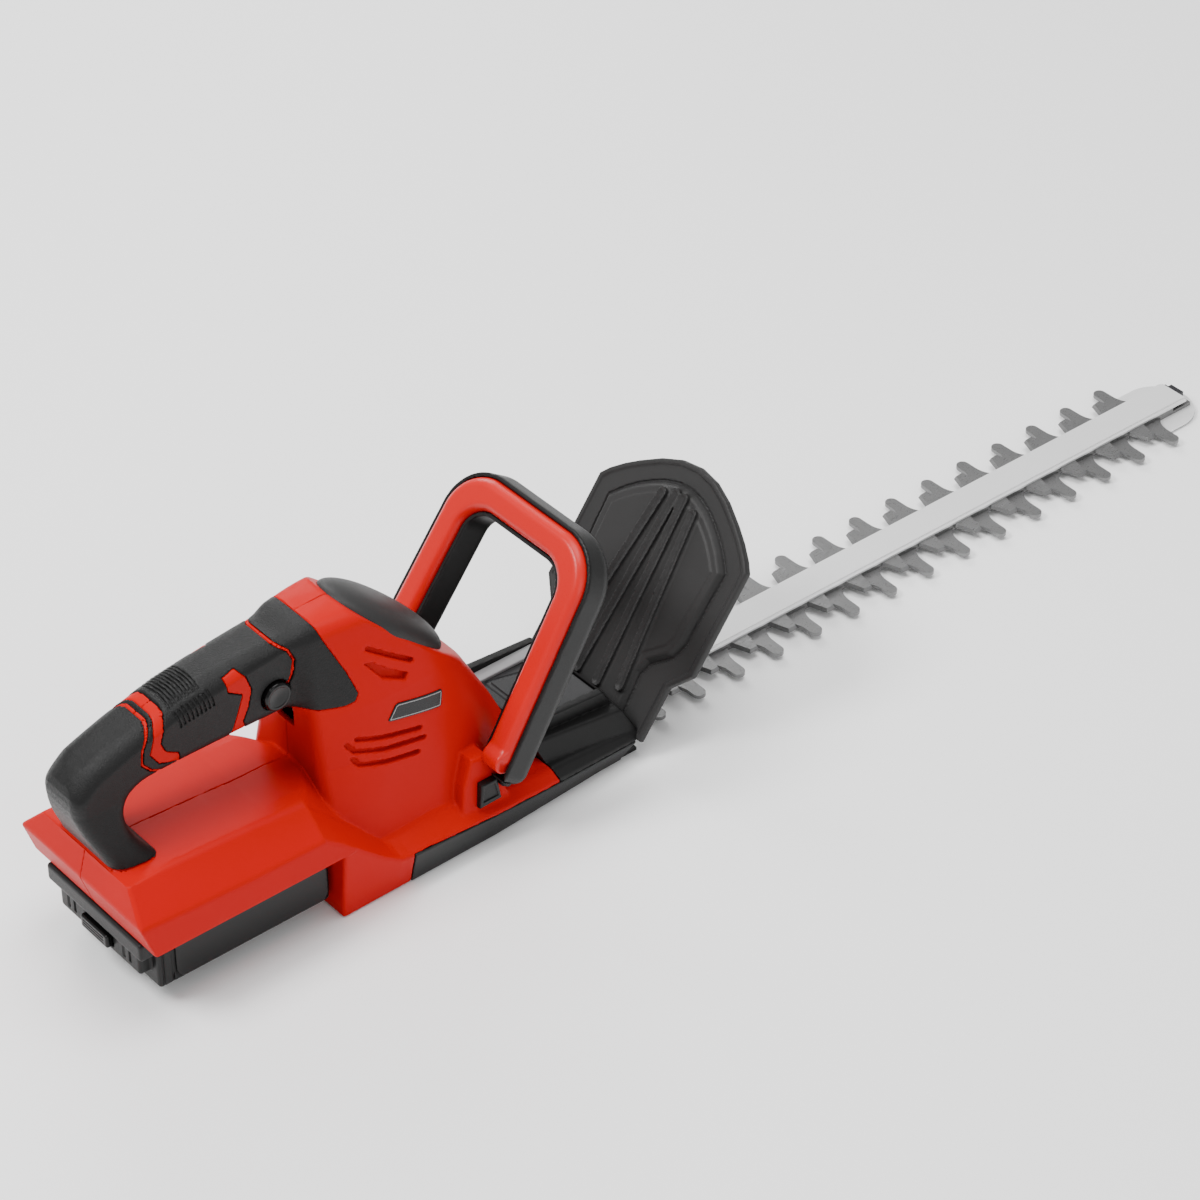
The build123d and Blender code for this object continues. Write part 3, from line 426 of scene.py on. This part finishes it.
def lower(x, y, z, foot_z, foot_y):
    """The low body's section: flat deck, sloping shoulder, ridge and side, open ended along x."""
    ay = np.abs(y)
    inboard = np.clip((41 - ay) / 12, 0, 1)
    fade = np.clip((x + 336) / 24, 0, 1) * np.clip((-246 - x) / 18, 0, 1)
    xs = x - 18 * inboard * fade
    zd = np.interp(xs, DECK_X, DECK_Z).astype(np.float32)
    yd = np.interp(x, DECK_X, DECK_Y).astype(np.float32)
    zr = np.interp(x, RIDGE_X, RIDGE_Z).astype(np.float32)
    yr = np.interp(x, RIDGE_X, RIDGE_Y).astype(np.float32)
    zdo = np.interp(x, DECK_X, DECK_Z).astype(np.float32)
    steep = np.where((xs > -313) & (xs < -266), 0.71, 1.0)
    top = (z - zd) * steep
    run, drop = yr - yd, zdo - zr
    shoulder = ((ay - yd) * drop + (z - zdo) * run) / np.sqrt(run * run + drop * drop)
    shoulder = shoulder * np.where((x > -313) & (x < -266), 0.85, 1.0)
    rise = zr - foot_z
    lean = yr - foot_y
    side = ((ay - yr) * rise - (z - zr) * lean) / np.sqrt(rise * rise + lean * lean)
    return rmax(rmax(top, shoulder, 2.0), rmax(side, foot_z - z, 1.0), 1.6)


def body_low(x, y, z):
    tail = lower(x, y, z, 49.4, 59.5)
    upper_back = (-(x + 437.8) * 18.9 + (z - 72.6) * 5.4) / 19.66
    lower_back = (-(x + 437.8) * 23.1 - (z - 72.6) * 7.7) / 24.35
    tail = rmax(rmax(tail, rmax(upper_back, lower_back, 1.0), 1.6), x + 280)
    foot = np.interp(x, [-300, -252, -187, -105, -77], [54, 53.5, 52.8, 48, 47.5]).astype(np.float32)
    base = rmax(lower(x, y, z, 0.0, foot), -301 - x, 2.0)
    return np.minimum(tail, base)


def hump_raw(x, y, z):
    ay = np.abs(y)
    half = np.interp(z, [0, 35, 70, 95, 125, 150, 190], [47, 45, 42, 39.8, 36.5, 31.6,
                                                         22]).astype(np.float32)
    front = -141 - 0.56 * (z - 35)
    mid = -238.0
    reach = np.maximum(front - mid, 20)
    u = np.maximum(x - mid, 0) / reach
    v = ay / half
    round_front = ((u ** 2.6 + v ** 2.6) ** (1 / 2.6) - 1) * np.minimum(half, reach)
    corner_y = half - np.interp(z, [60, 90, 125, 150, 185], [4, 9.5, 9.5, 8, 5]).astype(np.float32)
    corner = -0.38 * (x + 295) + 0.92 * (ay - corner_y)
    plan = rmax(round_front, corner, 9.0)
    plan = rmax(plan, -295.5 - x, 5.0)
    return rmax(plan, z - 184.0, 7.0)


GRIP_LINE = curve_points([(-250, 190), (-283, 182.7), (-307, 180.7), (-338.5, 177), (-372, 172),
                          (-405, 162.5),
                          (-430, 153.5), (-443, 143), (-445.5, 130), (-441, 113), (-432, 92), (-429, 78),
                          (-397, 76), (-402, 88), (-410.5, 98), (-415.5, 110), (-414.5, 121), (-406, 129.5),
                          (-390, 132.2), (-340, 132.4), (-296, 131.5), (-262, 126), (-240, 150)], 3)


def grip(x, y, z):
    """The D-grip: rounded bar along the top, and a column that flares onto the tail."""
    side = poly(x, z, GRIP_LINE)
    ay = np.abs(y)
    flare = np.clip((128 - z) / 40, 0, 1) ** 1.2
    half = 18 + 12 * flare
    # the foot leans in towards its front, so it is wider ahead
    half = half + np.clip((x + 432) / 28, 0, 1) * 3.0 * np.clip((105 - z) / 16, 0, 1)
    bar = rmax(side, (ay - half) * 0.96, 7.5)
    # flat along the crown
    crown = np.interp(x, [-446, -430, -405, -372, -338, -307, -283, -250],
                      [140, 153.5, 162.5, 172, 177, 180.7, 182.7, 186]).astype(np.float32)
    facet = 0.55 * (ay - 11.5) + 0.835 * (z - crown)
    return rmax(bar, np.where(z > 118, facet, -5), 2.5)


def outer(x, y, z):
    """Everything red and the grip's skin, as one flowing surface."""
    s, n = cap_frame(x, z)
    top = rmin(hump_raw(x, y, z), grip(x, y, z), 12.0)
    top = rmax(top, z - 183.4, 9.0)
    top = rmax(top, n, 1.5)
    d = rmin(body_low(x, y, z), top, 2.2)
    ay = np.abs(y)
    side = poly(x, z, [(-214, 24), (-211, 46), (-204.5, 63), (-193, 61.5), (-186, 50), (-178, 24)])
    riser = rmax(side, slab(ay, 34, 53.5 - 0.06 * (z - 30)), 2.0)
    # nothing reaches under the flat underside
    return rmax(rmin(d, riser, 1.6), -z, 0.6)


def vents(x, z):
    upper_slot = path(x, z, [(-258.0, 158.6), (-246.5, 150.2), (-231.0, 139.6)], 1.5)
    upper_gill = poly(x, z, [(-261.5, 150.8), (-256.5, 149.2), (-248.0, 142.0), (-235.2, 133.4),
                             (-237.5, 130.2),
                             (-251.5, 137.4)])
    curves = [
        [(-272.6, 105.2), (-258.6, 101), (-231.4, 94.7)],
        [(-278.8, 103.4), (-274.6, 97.8), (-256.3, 92.4), (-229.3, 87.3)],
        [(-276.3, 93), (-272.7, 88.2), (-257.3, 84), (-234.4, 79.5)],
    ]
    d = np.minimum(upper_slot, upper_gill - 0.3)
    for c in curves:
        d = np.minimum(d, path(x, z, c, 1.55))
    return d


# ---------------------------------- where the grip is black and where red shows
THIN_REAR = [(-391.5, 190), (-391.5, 167.5), (-395, 163.5), (-401.5, 155), (-402.5, 145), (-397, 138.5),
             (-391, 134.5), (-389, 126)]
REAR_SKIN = [(-388.6, 195), (-388.6, 168), (-393.5, 161), (-397.3, 149), (-392, 140.5), (-384, 137.2),
             (-379.5, 136), (-379.5, 60), (-470, 60), (-470, 195)]
MIDDLE_SKIN = [(-381.8, 195), (-381.8, 169.5), (-386.3, 162.5), (-389.3, 153), (-386.6, 146.5),
               (-378.6, 141.8),
               (-377.6, 136), (-377.6, 118), (-316.5, 118), (-312, 139), (-306.6, 150.5), (-303.2, 157),
               (-301.6, 167), (-304.6, 173.6), (-311, 178.5), (-311, 195)]
HOOK = [(-345.5, 173.5), (-336.5, 175.5), (-331.8, 170), (-328.5, 159.5), (-331.2, 149.3), (-335.5, 140.4),
        (-333, 134), (-333, 118), (-347, 118), (-344, 136), (-338.8, 149), (-335.2, 159), (-344.5, 165)]
FRONT_SKIN = [(-309.2, 195), (-309.2, 179.3), (-303, 174.8), (-299.8, 167), (-301.4, 156.6), (-304.8, 150),
              (-311.5, 139), (-316, 128.5), (-300, 132.5), (-277, 129.6), (-270.5, 130.6), (-268.2, 134.5),
              (-273.5, 150.5), (-284.4, 175), (-287, 186), (-287, 195)]


def rear_skin(x, z):
    return np.maximum(poly(x, z, REAR_SKIN), -path(x, z, THIN_REAR, 0.95))


def middle_skin(x, z):
    return np.maximum(poly(x, z, MIDDLE_SKIN), -poly(x, z, HOOK))


def front_skin(x, z):
    return poly(x, z, FRONT_SKIN)


def half_of(y, side, gap=0.1):
    """Keep one side of the middle plane: -1 is the right, +1 the left."""
    return gap - side * y


def red_housing(side):
    def f(x, y, z):
        d = outer(x, y, z)
        d_out = d
        skin = np.minimum(np.minimum(rear_skin(x, z), middle_skin(x, z)), front_skin(x, z))
        near = np.where(x < -384, 90.0 - z, 118.0 - z)
        layer = rmax(rmax(skin - 0.3, -(d_out + 1.8)), near)
        d = cut(d, layer)
        openings = vents(x, z)
        pocket = rmax(rmax(openings, -(d_out + 3.6), 0.4), 15 - np.abs(y))
        d = cut(d, pocket, 0.5)
        # band for the black skirt, and the joint with the nose
        band_top = 24.0 - (x + 252.3) * 0.0628
        band = rmax(rmax(z - band_top, -252.3 - x), -(d_out + 2.6))
        d = cut(d, band, 0.3)
        d = rmax(d, x + 143.5 - (19.0 - z) * 0.36, 0.6)
        # hollow, open underneath
        backing = 3.0 * np.clip((4.5 - openings) / 2, 0, 1) * (np.abs(y) > 15)
        d = cut(d, d_out + 3.2 + backing)
        d = cut(d, block(x, y, z, (-248, -70), (-47, 47), (-5, 6)))
        d = cut(d, block(x, y, z, (-341.5, -304.5), (-27.5, 27.5), (40, 64)))
        d = cut(d, block(x, y, z, (-334, -290.5), (-7.5, 7.5), (110, 150)))
        if side < 0:
            d = cut(d, tube(x, y, z, (-313.5, 148.0), "y", 9.6, -60, -6), 0.5)
        return rmax(d, half_of(y, side, 0.04), 0.15)
    return f


def skin_piece(region, low_z):
    def f(x, y, z):
        d_out = outer(x, y, z) - 0.3
        d = rmax(d_out, region(x, z), 0.6)
        d = rmax(d, low_z - z)
        inner = d_out + 2.5
        d = cut(d, inner)
        d = cut(d, block(x, y, z, (-334, -290.5), (-7.5, 7.5), (110, 150)))
        return cut(d, tube(x, y, z, (-313.5, 148.0), "y", 9.6, -60, -6), 0.8)
    return f


def rear_sleeve(x, y, z):
    g = grip(x, y, z) - 0.3
    d = rmax(g, rear_skin(x, z), 0.6)
    deck = np.interp(x, DECK_X, DECK_Z).astype(np.float32)
    d = rmax(d, deck + 0.05 - z)
    return cut(d, g + 2.5)


def ribs(x, y, z):
    """Grooves pressed over the grip's crown and its shoulder."""
    ay = np.abs(y)
    crown = np.interp(x, [-405, -372, -338, -307], [162.5, 172, 177, 180.7]).astype(np.float32)
    d = np.full(np.shape(x), 1e3, dtype=np.float32)
    for i in range(10):
        d = np.minimum(d, np.abs(x - (-378.3 + 2.15 * i) + 0.10 * (ay - 6)) - 0.55)
    top = rmax(d, slab(ay, -1, 12.5))
    e = np.full(np.shape(x), 1e3, dtype=np.float32)
    for i in range(9):
        e = np.minimum(e, np.abs(x - (-377.0 + 2.75 * i) + 0.22 * (z - crown + 8)) - 0.6)
    side = rmax(rmax(e, 14.6 - ay), slab(z - crown, -13.5, -3.0))
    return np.minimum(top, side)


def middle_sleeve(x, y, z):
    base = skin_piece(middle_skin, 110)(x, y, z)
    groove = rmax(ribs(x, y, z), -(outer(x, y, z) + 0.6))
    return cut(base, groove, 0.25)


# ------------------------------------------------------------------ cap
def cap(x, y, z):
    s, n = cap_frame(x, z)
    rim = (np.abs(s / 47.5) ** 2.15 + np.abs(y / 30.6) ** 2.15) ** (1 / 2.15)
    dome = (np.sqrt(rim ** 2 + (np.maximum(n, 0) / 11.5) ** 2) - 1) * 17.0
    dome = np.where(n > 0, dome, (rim - 1) * 30)
    return rmax(rmax(dome, -3.0 - n, 0.5), n - 11.6, 3.0)


# ------------------------------------------------------------------ front handle
HANDLE_S, HANDLE_C = math.sin(math.atan(0.67)), math.cos(math.atan(0.67))
PIVOT_V, PIVOT_N = -24.0, 10.0
LOW_HALF, HIGH_HALF, LOOP_TOP, LOOP_FOOT, BAR = 70.0, 63.0, 112.0, -42.0, 24.0
FRAME_DEPTH = 28.0


def loop_frame(x, z):
    return (x + 180) * HANDLE_S + (z - 85) * HANDLE_C, (x + 180) * HANDLE_C - (z - 85) * HANDLE_S


def loop_sides(x, y, z):
    v, n = loop_frame(x, z)
    half = LOW_HALF + (v - LOOP_FOOT) * (HIGH_HALF - LOW_HALF) / (LOOP_TOP - LOOP_FOOT)
    au = np.abs(y)
    out2 = rmax(au - half, v - LOOP_TOP, 32.0)
    in2 = rmax(au - (half - BAR), v - (LOOP_TOP - BAR), 15.0)
    return au, v, n, half, out2, in2


def handle_frame(x, y, z):
    au, v, n, half, out2, in2 = loop_sides(x, y, z)
    d = rmax(out2, -in2, 2.0)
    d = rmax(rmax(out2, n - FRAME_DEPTH, 11.0), rmax(-in2, n - FRAME_DEPTH, 6.0), 1.5)
    d = rmax(d, 4.6 - n, 1.0)
    d = rmax(d, LOOP_FOOT + 4.0 - v, 9.0)
    foot = block(au, v, n, (41, 60), (-42, -26), (17, 25), 2.5)
    d = rmin(d, foot, 3.0)
    groove = np.maximum(np.maximum(out2 + 2.6, 2.6 - in2), np.maximum(n - 13, -36 - v))
    d = cut(d, groove, 0.4)
    pocket = block(au, v, n, (half - BAR / 2 - 7.9, half - BAR / 2 + 7.9), (-37, -14), (-5, 17.5))
    return cut(d, pocket, 0.3)


def handle_bail(x, y, z):
    au, v, n, half, out2, in2 = loop_sides(x, y, z)
    a, b = out2 + 2.95, 2.95 - in2
    d = rmax(rmax(a, -n - 0.0, 6.6), rmax(b, -n - 0.0, 6.0), 0.8)
    d = rmax(d, n - 8.0, 0.5)
    leg = half - BAR / 2
    d = rmax(d, PIVOT_V - v, 1.0)
    ear = rmax(np.hypot(v - PIVOT_V, n - PIVOT_N) - 6.2, np.abs(au - leg) - 7.2, 1.0)
    d = rmin(d, ear, 3.0)
    heel = rmax(np.hypot(v - (PIVOT_V - 1), (n - 5.0)) - 7.0, np.abs(au - leg) - 7.2, 1.5)
    return rmin(d, heel, 2.0)


def loop_socket(side):
    def f(x, y, z):
        outline = poly(x, z, [(-203, 29.5), (-201.5, 46), (-190, 46), (-187, 30)])
        d = rmax(outline, slab(side * y, 50.5, 57.0), 1.0)
        return cut(d, rmax(poly(x, z, [(-200.5, 33), (-199.5, 43.5), (-192, 43.5), (-189.5, 33)]),
                           56.2 - side * y), 0.2)
    return f


# ------------------------------------------------------------------ hand guard
GUARD_S, GUARD_C = math.sin(math.atan(0.732)), math.cos(math.atan(0.732))
GUARD_EDGE = [(54.5, 0), (54.5, 37), (66.8, 51), (66.8, 121), (61.7, 127.0), (53, 134.5), (43.5, 141.2),
              (29.2, 149.9), (15, 155.8), (0, 158.0)]
PANEL_EDGE = [(33, 3), (30.8, 34), (34.3, 43), (46.8, 54), (50.5, 64), (52.6, 113), (44, 122), (36, 128.7),
              (27, 134.6), (19, 138.9), (8, 142.4), (0, 143.2)]


def mirrored(edge):
    return edge + [(-y, s) for y, s in edge[-2::-1]]


def hand_guard(x, y, z):
    s = (x + 80.4) * GUARD_S + (z - 13.6) * GUARD_C
    n = (x + 80.4) * GUARD_C - (z - 13.6) * GUARD_S
    edge = poly(y, s, mirrored(GUARD_EDGE))
    plate = rmax(edge - 0.0, slab(n, 0.0, 4.0), 1.2)
    # turned edge all round
    rim = rmax(np.abs(edge + 1.6) - 1.6, slab(n, -1.0, 4.2), 0.8)
    panel = poly(y, s, mirrored(PANEL_EDGE))
    raised = rmax(0.80 * (panel + 0.7 * np.maximum(-n, 0)), slab(n, -3.4, 2.0), 0.7)
    second = rmax(0.80 * (panel + 6.0 + 0.7 * np.maximum(-n - 2.6, 0)), slab(n, -4.0, 2.0), 0.5)
    d = np.minimum(rmin(plate, rim, 0.8), np.minimum(raised, second))
    d = cut(d, rmax(np.abs(panel - 0.9) - 0.8, slab(n, -3.0, 1.1)), 0.4)
    creases = [((13, 134), (26, 22)), ((3, 138), (9, 16)), ((-4, 138), (-9, 16)), ((-15, 133), (-26, 22))]
    for a, b in creases:
        stroke = line(y, s, a, b, 0.0)
        d = rmin(d, rmax(stroke * 0.5 - 1.6, slab(n + 1.25 * stroke * 0.4, -5.4, 0)), 1.0)
    return d


# ------------------------------------------------------------------ skirt, nose and gear plate
def skirt(side):
    def f(x, y, z):
        d_out = body_low(x, y, z) - 0.35
        band_top = 23.7 - (x + 252.3) * 0.0628
        d = rmax(rmax(d_out, z - band_top, 0.8), -251.9 - x, 0.5)
        d = cut(d, body_low(x, y, z) + 2.5)
        d = rmax(d, guard_side(x, z) + 0.2)
        d = rmax(d, 0.1 - z, 0.3)
        return rmax(d, 46.0 - side * y)
    return f


def guard_side(x, z):
    """Negative behind the guard's rear face."""
    return (x + 80.4) * GUARD_C - (z - 13.6) * GUARD_S


def nose(x, y, z):
    ay = np.abs(y)
    front = guard_side(x, z) + 0.3
    top = z - (47.8 - (x + 125) * 0.075)
    slope = (0.90 * (x + 91.5) + 0.44 * (z - 45.5))
    core = rmax(rmax(ay - 35.0, top, 1.2), slope, 1.5)
    ledge = rmax(rmax(0.93 * (ay - 44.5) + 0.37 * (z - 30), z - 38.0 + (x + 125) * 0.10, 1.5),
                 0.90 * (x + 86) + 0.44 * (z - 37), 1.5)
    wing = rmax(body_low(x, y, z), x + 77.2, 1.5)
    wing = rmax(wing, z - np.interp(x, [-142, -125, -77], [27, 25.5, 18.0]).astype(np.float32), 1.2)
    d = np.minimum(np.minimum(core, ledge), wing)
    band_top = 23.7 - (x + 252.3) * 0.0628
    d = cut(d, rmax(z - band_top - 0.2, 45.8 - ay))
    d = rmax(d, -(x + 143.0 - (19.0 - z) * 0.36), 0.6)
    d = rmax(d, front, 0.6)
    # bed for the grey plate, hollow beneath, tunnel for the blades
    d = cut(d, block(x, y, z, (-150, -91), (-29.4, 29.4), (36, 70)), 0.4)
    d = cut(d, block(x, y, z, (-150, -95), (-26, 26), (10, 60)))
    d = cut(d, block(x, y, z, (-150, -60), (-46, 46), (-5, 14)), 0.5)
    return d


def gear_plate(x, y, z):
    top = 42.6 - (x + 142) * 0.02
    d = rmax(block(x, y, z, (-146, -91.5), (-29, 29), (30, 60), 1.0), z - top, 1.0)
    pad = poly(x, y, [(-136, -17), (-136, 17), (-105, 9), (-105, -9)])
    d = rmin(d, rmax(pad, slab(z, 38, top + 1.2), 0.6), 0.8)
    groove = rmax(np.abs(pad - 3.0) - 0.6, slab(z, top - 0.8, 60))
    return cut(d, groove, 0.3)


# painted highlight: a pale strip along the gear plate's far edge, where its chamfer catches the light
def painted_chamfer_highlight(x, y, z):
    return block(x, y, z, (-147, -91.5), (21.0, 30.0), (42.0, 44.6), 0.8)


# ------------------------------------------------------------------ battery
def pack_case(x, y, z):
    d = block(x, y, z, (-421, -303.5), (-46, 46), (11, 37.0), 2.5)
    tail = block(x, y, z, (-429, -405), (-39, 39), (21, 37.0), 2.0)
    d = rmin(d, tail, 1.5)
    d = np.maximum(d, z - 36.9)
    # grooves that frame the side panels and run down the rear corners
    corner = np.minimum(np.abs(x + 417.5), np.abs(x + 411.5)) - 0.7
    d = cut(d, rmax(corner, 44.9 - np.abs(y)), 0.4)
    bed = rmax(rmax(slab(x, -410.3, -290), slab(z, 12.4, 60), 6.5), 45.2 - np.abs(y))
    d = cut(d, bed, 0.2)
    hollow = block(x, y, z, (-418, -306.5), (-43, 43), (14, 60))
    d = cut(d, hollow)
    window = block(x, y, z, (-436, -417), (-13.6, 13.6), (24.4, 34.6), 1.0)
    d = cut(d, window, 0.8)
    for gy in (-30, -24, 24, 30):
        d = cut(d, rmax(np.abs(y - gy) - 1.0, np.maximum(x + 428.2, 25 - z)), 0.4)
    return d


def pack_lid(x, y, z):
    d = block(x, y, z, (-432, -303.5), (-46, 46), (37.1, 49.0), 2.0)
    bed = rmax(rmax(slab(x, -410.3, -290), slab(z, 0, 47.0), 6.5), 45.2 - np.abs(y))
    d = cut(d, bed, 0.2)
    d = cut(d, block(x, y, z, (-418, -346), (-43, 43), (30, 46.5)))
    for gy in (-16, -6, 6, 16):
        d = cut(d, block(x, y, z, (-341, -295), (gy - 1.6, gy + 1.6), (42, 60)))
    return d


def side_panel(side):
    def f(x, y, z):
        face = rmax(slab(x, -409.5, -304.8), slab(z, 13.2, 46.2), 6.5)
        return rmax(face, slab(side * y, 44.0, 46.9), 0.5)
    return f


def release_key(x, y, z):
    d = block(x, y, z, (-433, -424.5), (-13, 13), (25, 34), 1.5)
    for gz in (27.5, 29.5, 31.5):
        d = cut(d, rmax(np.hypot(x + 433.4, z - gz) - 0.8, np.abs(y) - 10), 0.2)
    return d


# ------------------------------------------------------------------ controls
def lock_button(x, y, z):
    dx, dz = x + 313.5, z - 148.0
    r = np.hypot(dx, dz)
    d = rmax(r - 8.9, slab(y, -21.2, -11.0), 1.4)
    dish = np.sqrt(dx * dx + dz * dz + (y + 35.0) ** 2) - 14.8
    d = cut(d, dish, 0.8)
    return rmin(d, rmax(np.abs(r - 7.3) - 0.6, slab(y, -21.4, -17)), 0.4)


TRIGGER_LINE = curve_points([(-300, 145), (-292.5, 143), (-292, 137), (-297, 128.8), (-311, 126.5),
                             (-326, 129),
                             (-330, 134), (-329, 140)], 3)


def rear_trigger(x, y, z):
    return rmax(poly(x, z, TRIGGER_LINE), np.abs(y) - 6.4, 2.2)


# ------------------------------------------------------------------ label plate on the hump
LABEL_EDGE = [(-252.4, 110.0), (-246.5, 117.6), (-244.5, 118.2), (-213.4, 111.6), (-212.6, 110.2),
              (-214.9, 101.8), (-216.5, 101.6), (-251.5, 109.0)]


def label_plate(x, y, z):
    plate = rmax(poly(x, z, LABEL_EDGE), np.abs(outer(x, y, z) - 0.1) - 0.55, 0.3)
    return rmax(plate, y + 20)


def label_rim(x, y, z):
    stroke = np.abs(poly(x, z, LABEL_EDGE) + 1.1) - 0.28
    return rmax(rmax(stroke, np.abs(outer(x, y, z) - 0.35) - 0.45), y + 20)


# ------------------------------------------------------------------ build
solid("body_right", red_housing(-1), (-442, -62, -1), (-136, 1, 186), 1.05, "body", RED,
      ("housing_right",), 0.45)
solid("body_left", red_housing(1), (-442, -1, -1), (-136, 62, 186), 1.05, "body", RED,
      ("housing_left",), 0.45)
solid("sleeve_rear", rear_sleeve, (-449, -34, 84), (-376, 34, 170), 0.8, "body", RUBBER,
      ("grip_sleeve_rear",), 0.6)
solid("sleeve_middle", middle_sleeve, (-394, -20, 128), (-300, 20, 184), 0.6, "body", RUBBER,
      ("grip_sleeve_middle",), 0.7)
solid("sleeve_front", skin_piece(front_skin, 110), (-320, -38, 124), (-262, 38, 188), 0.7, "body", RUBBER,
      ("grip_sleeve_front",), 0.6)
solid("cap_dome", cap, (-272, -34, 108), (-180, 34, 190), 0.9, "body", GUARD_BLACK, ("motor_cap",),
      0.6)
solid("loop_frame", handle_frame, (-215, -73, 30), (-75, 73, 182), 0.95, "body", BLACK,
      ("handle_frame",), 0.5)
solid("loop_socket_right", loop_socket(-1), (-206, -59, 27), (-184, -49, 49), 0.5, "body", BLACK, (),
      0.5)
solid("loop_socket_left", loop_socket(1), (-206, 49, 27), (-184, 59, 49), 0.5, "body", BLACK, (),
      0.5)
solid("loop_bail", handle_bail, (-210, -72, 45), (-95, 72, 185), 0.8, "front_bail", BAIL_RED,
      ("handle_bail",), 0.5)
solid("guard_plate", hand_guard, (-92, -69, 5), (18, 69, 145), 0.8, "body", GUARD_BLACK, ("hand_guard",),
      0.5)
solid("skirt_right", skirt(-1), (-256, -61, -1), (-74, -44, 26), 0.8, "body", BLACK, ("skirt",),
      0.5)
solid("skirt_left", skirt(1), (-256, 44, -1), (-74, 61, 26), 0.8, "body", BLACK, ("skirt",),
      0.5)
solid("nose_shell", nose, (-148, -58, 2), (-60, 58, 50), 0.8, "body", BLACK, ("nose_cover",),
      0.5)
solid("gear_top", gear_plate, (-148, -31, 28), (-90, 31, 46), 0.7, "body", GREY, ("gear_plate",),
      0.4)
# the pale strip is a painted highlight on the gear plate's far chamfer
solid("gear_chamfer_painted_highlight", painted_chamfer_highlight, (-149, 19, 40), (-90, 32, 46), 0.7, "body", PALE_PRINT_AND_HIGHLIGHT, (), 0.4)
solid("battery_case", pack_case, (-431, -48, 9), (-301, 48, 39), 0.9, "battery", BLACK, ("pack_case",),
      0.4)
solid("battery_lid", pack_lid, (-434, -48, 35), (-301, 48, 51), 0.9, "battery", BLACK, ("pack_lid",),
      0.4)
solid("battery_panel_right", side_panel(-1), (-412, -48.5, 11), (-302, -43, 48), 0.6, "battery", GLOSS, (),
      0.3)
solid("battery_panel_left", side_panel(1), (-412, 43, 11), (-302, 48.5, 48), 0.6, "battery", GLOSS, (),
      0.3)
solid("battery_key", release_key, (-435, -15, 23), (-423, 15, 36), 0.5, "battery_latch", GLOSS,
      ("pack_release",), 0.5)
solid("side_button", lock_button, (-324, -27, 137), (-303, -9, 159), 0.4, "lock", GLOSS, ("lock_button",),
      0.5)
solid("trigger_lever", rear_trigger, (-333, -8, 124), (-289, 8, 147), 0.6, "trigger", BLACK,
      ("rear_trigger",), 0.5)
solid("hump_label_rim", label_rim, (-255, -42, 99), (-210, -30, 121), 0.3, "body", PALE_PRINT_AND_HIGHLIGHT, (),
      0.7)
solid("hump_label", label_plate, (-255, -42, 99), (-210, -30, 121), 0.4, "body", LABEL, (),
      0.5)


# ---------------------------------- finishes for the CAD pieces that stay as they are
kept = {
    STEEL: ["comb_blade", "cutter_blade", "motor_shaft", "motor_bearings", "motor_pinion", "crank_gear",
            "crank_pin",
            "crank_axle", "motor_can", "trigger_spring"],
    RAIL: ["blade_rail", "blade_nose"],
    DARK: ["rail_end_clip", "rail_bolts", "guard_screws", "cover_screws", "housing_screws", "bail_pins",
           "trigger_pin",
           "motor_rotor"],
    BLACK: ["bottom_cover", "trigger_switch", "bail_switch", "terminal_block", "motor_end_bell",
            "motor_fan"],
    COPPER: ["terminal_blades"],
    BOARD: ["pack_board", "control_board"],
    WRAP: ["pack_cells"],
    CAST: ["gearcase", "gearcase_lid"],
}
for finish, names in kept.items():
    for node in names:
        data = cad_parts[node].data
        data.materials.clear()
        data.materials.append(finish)
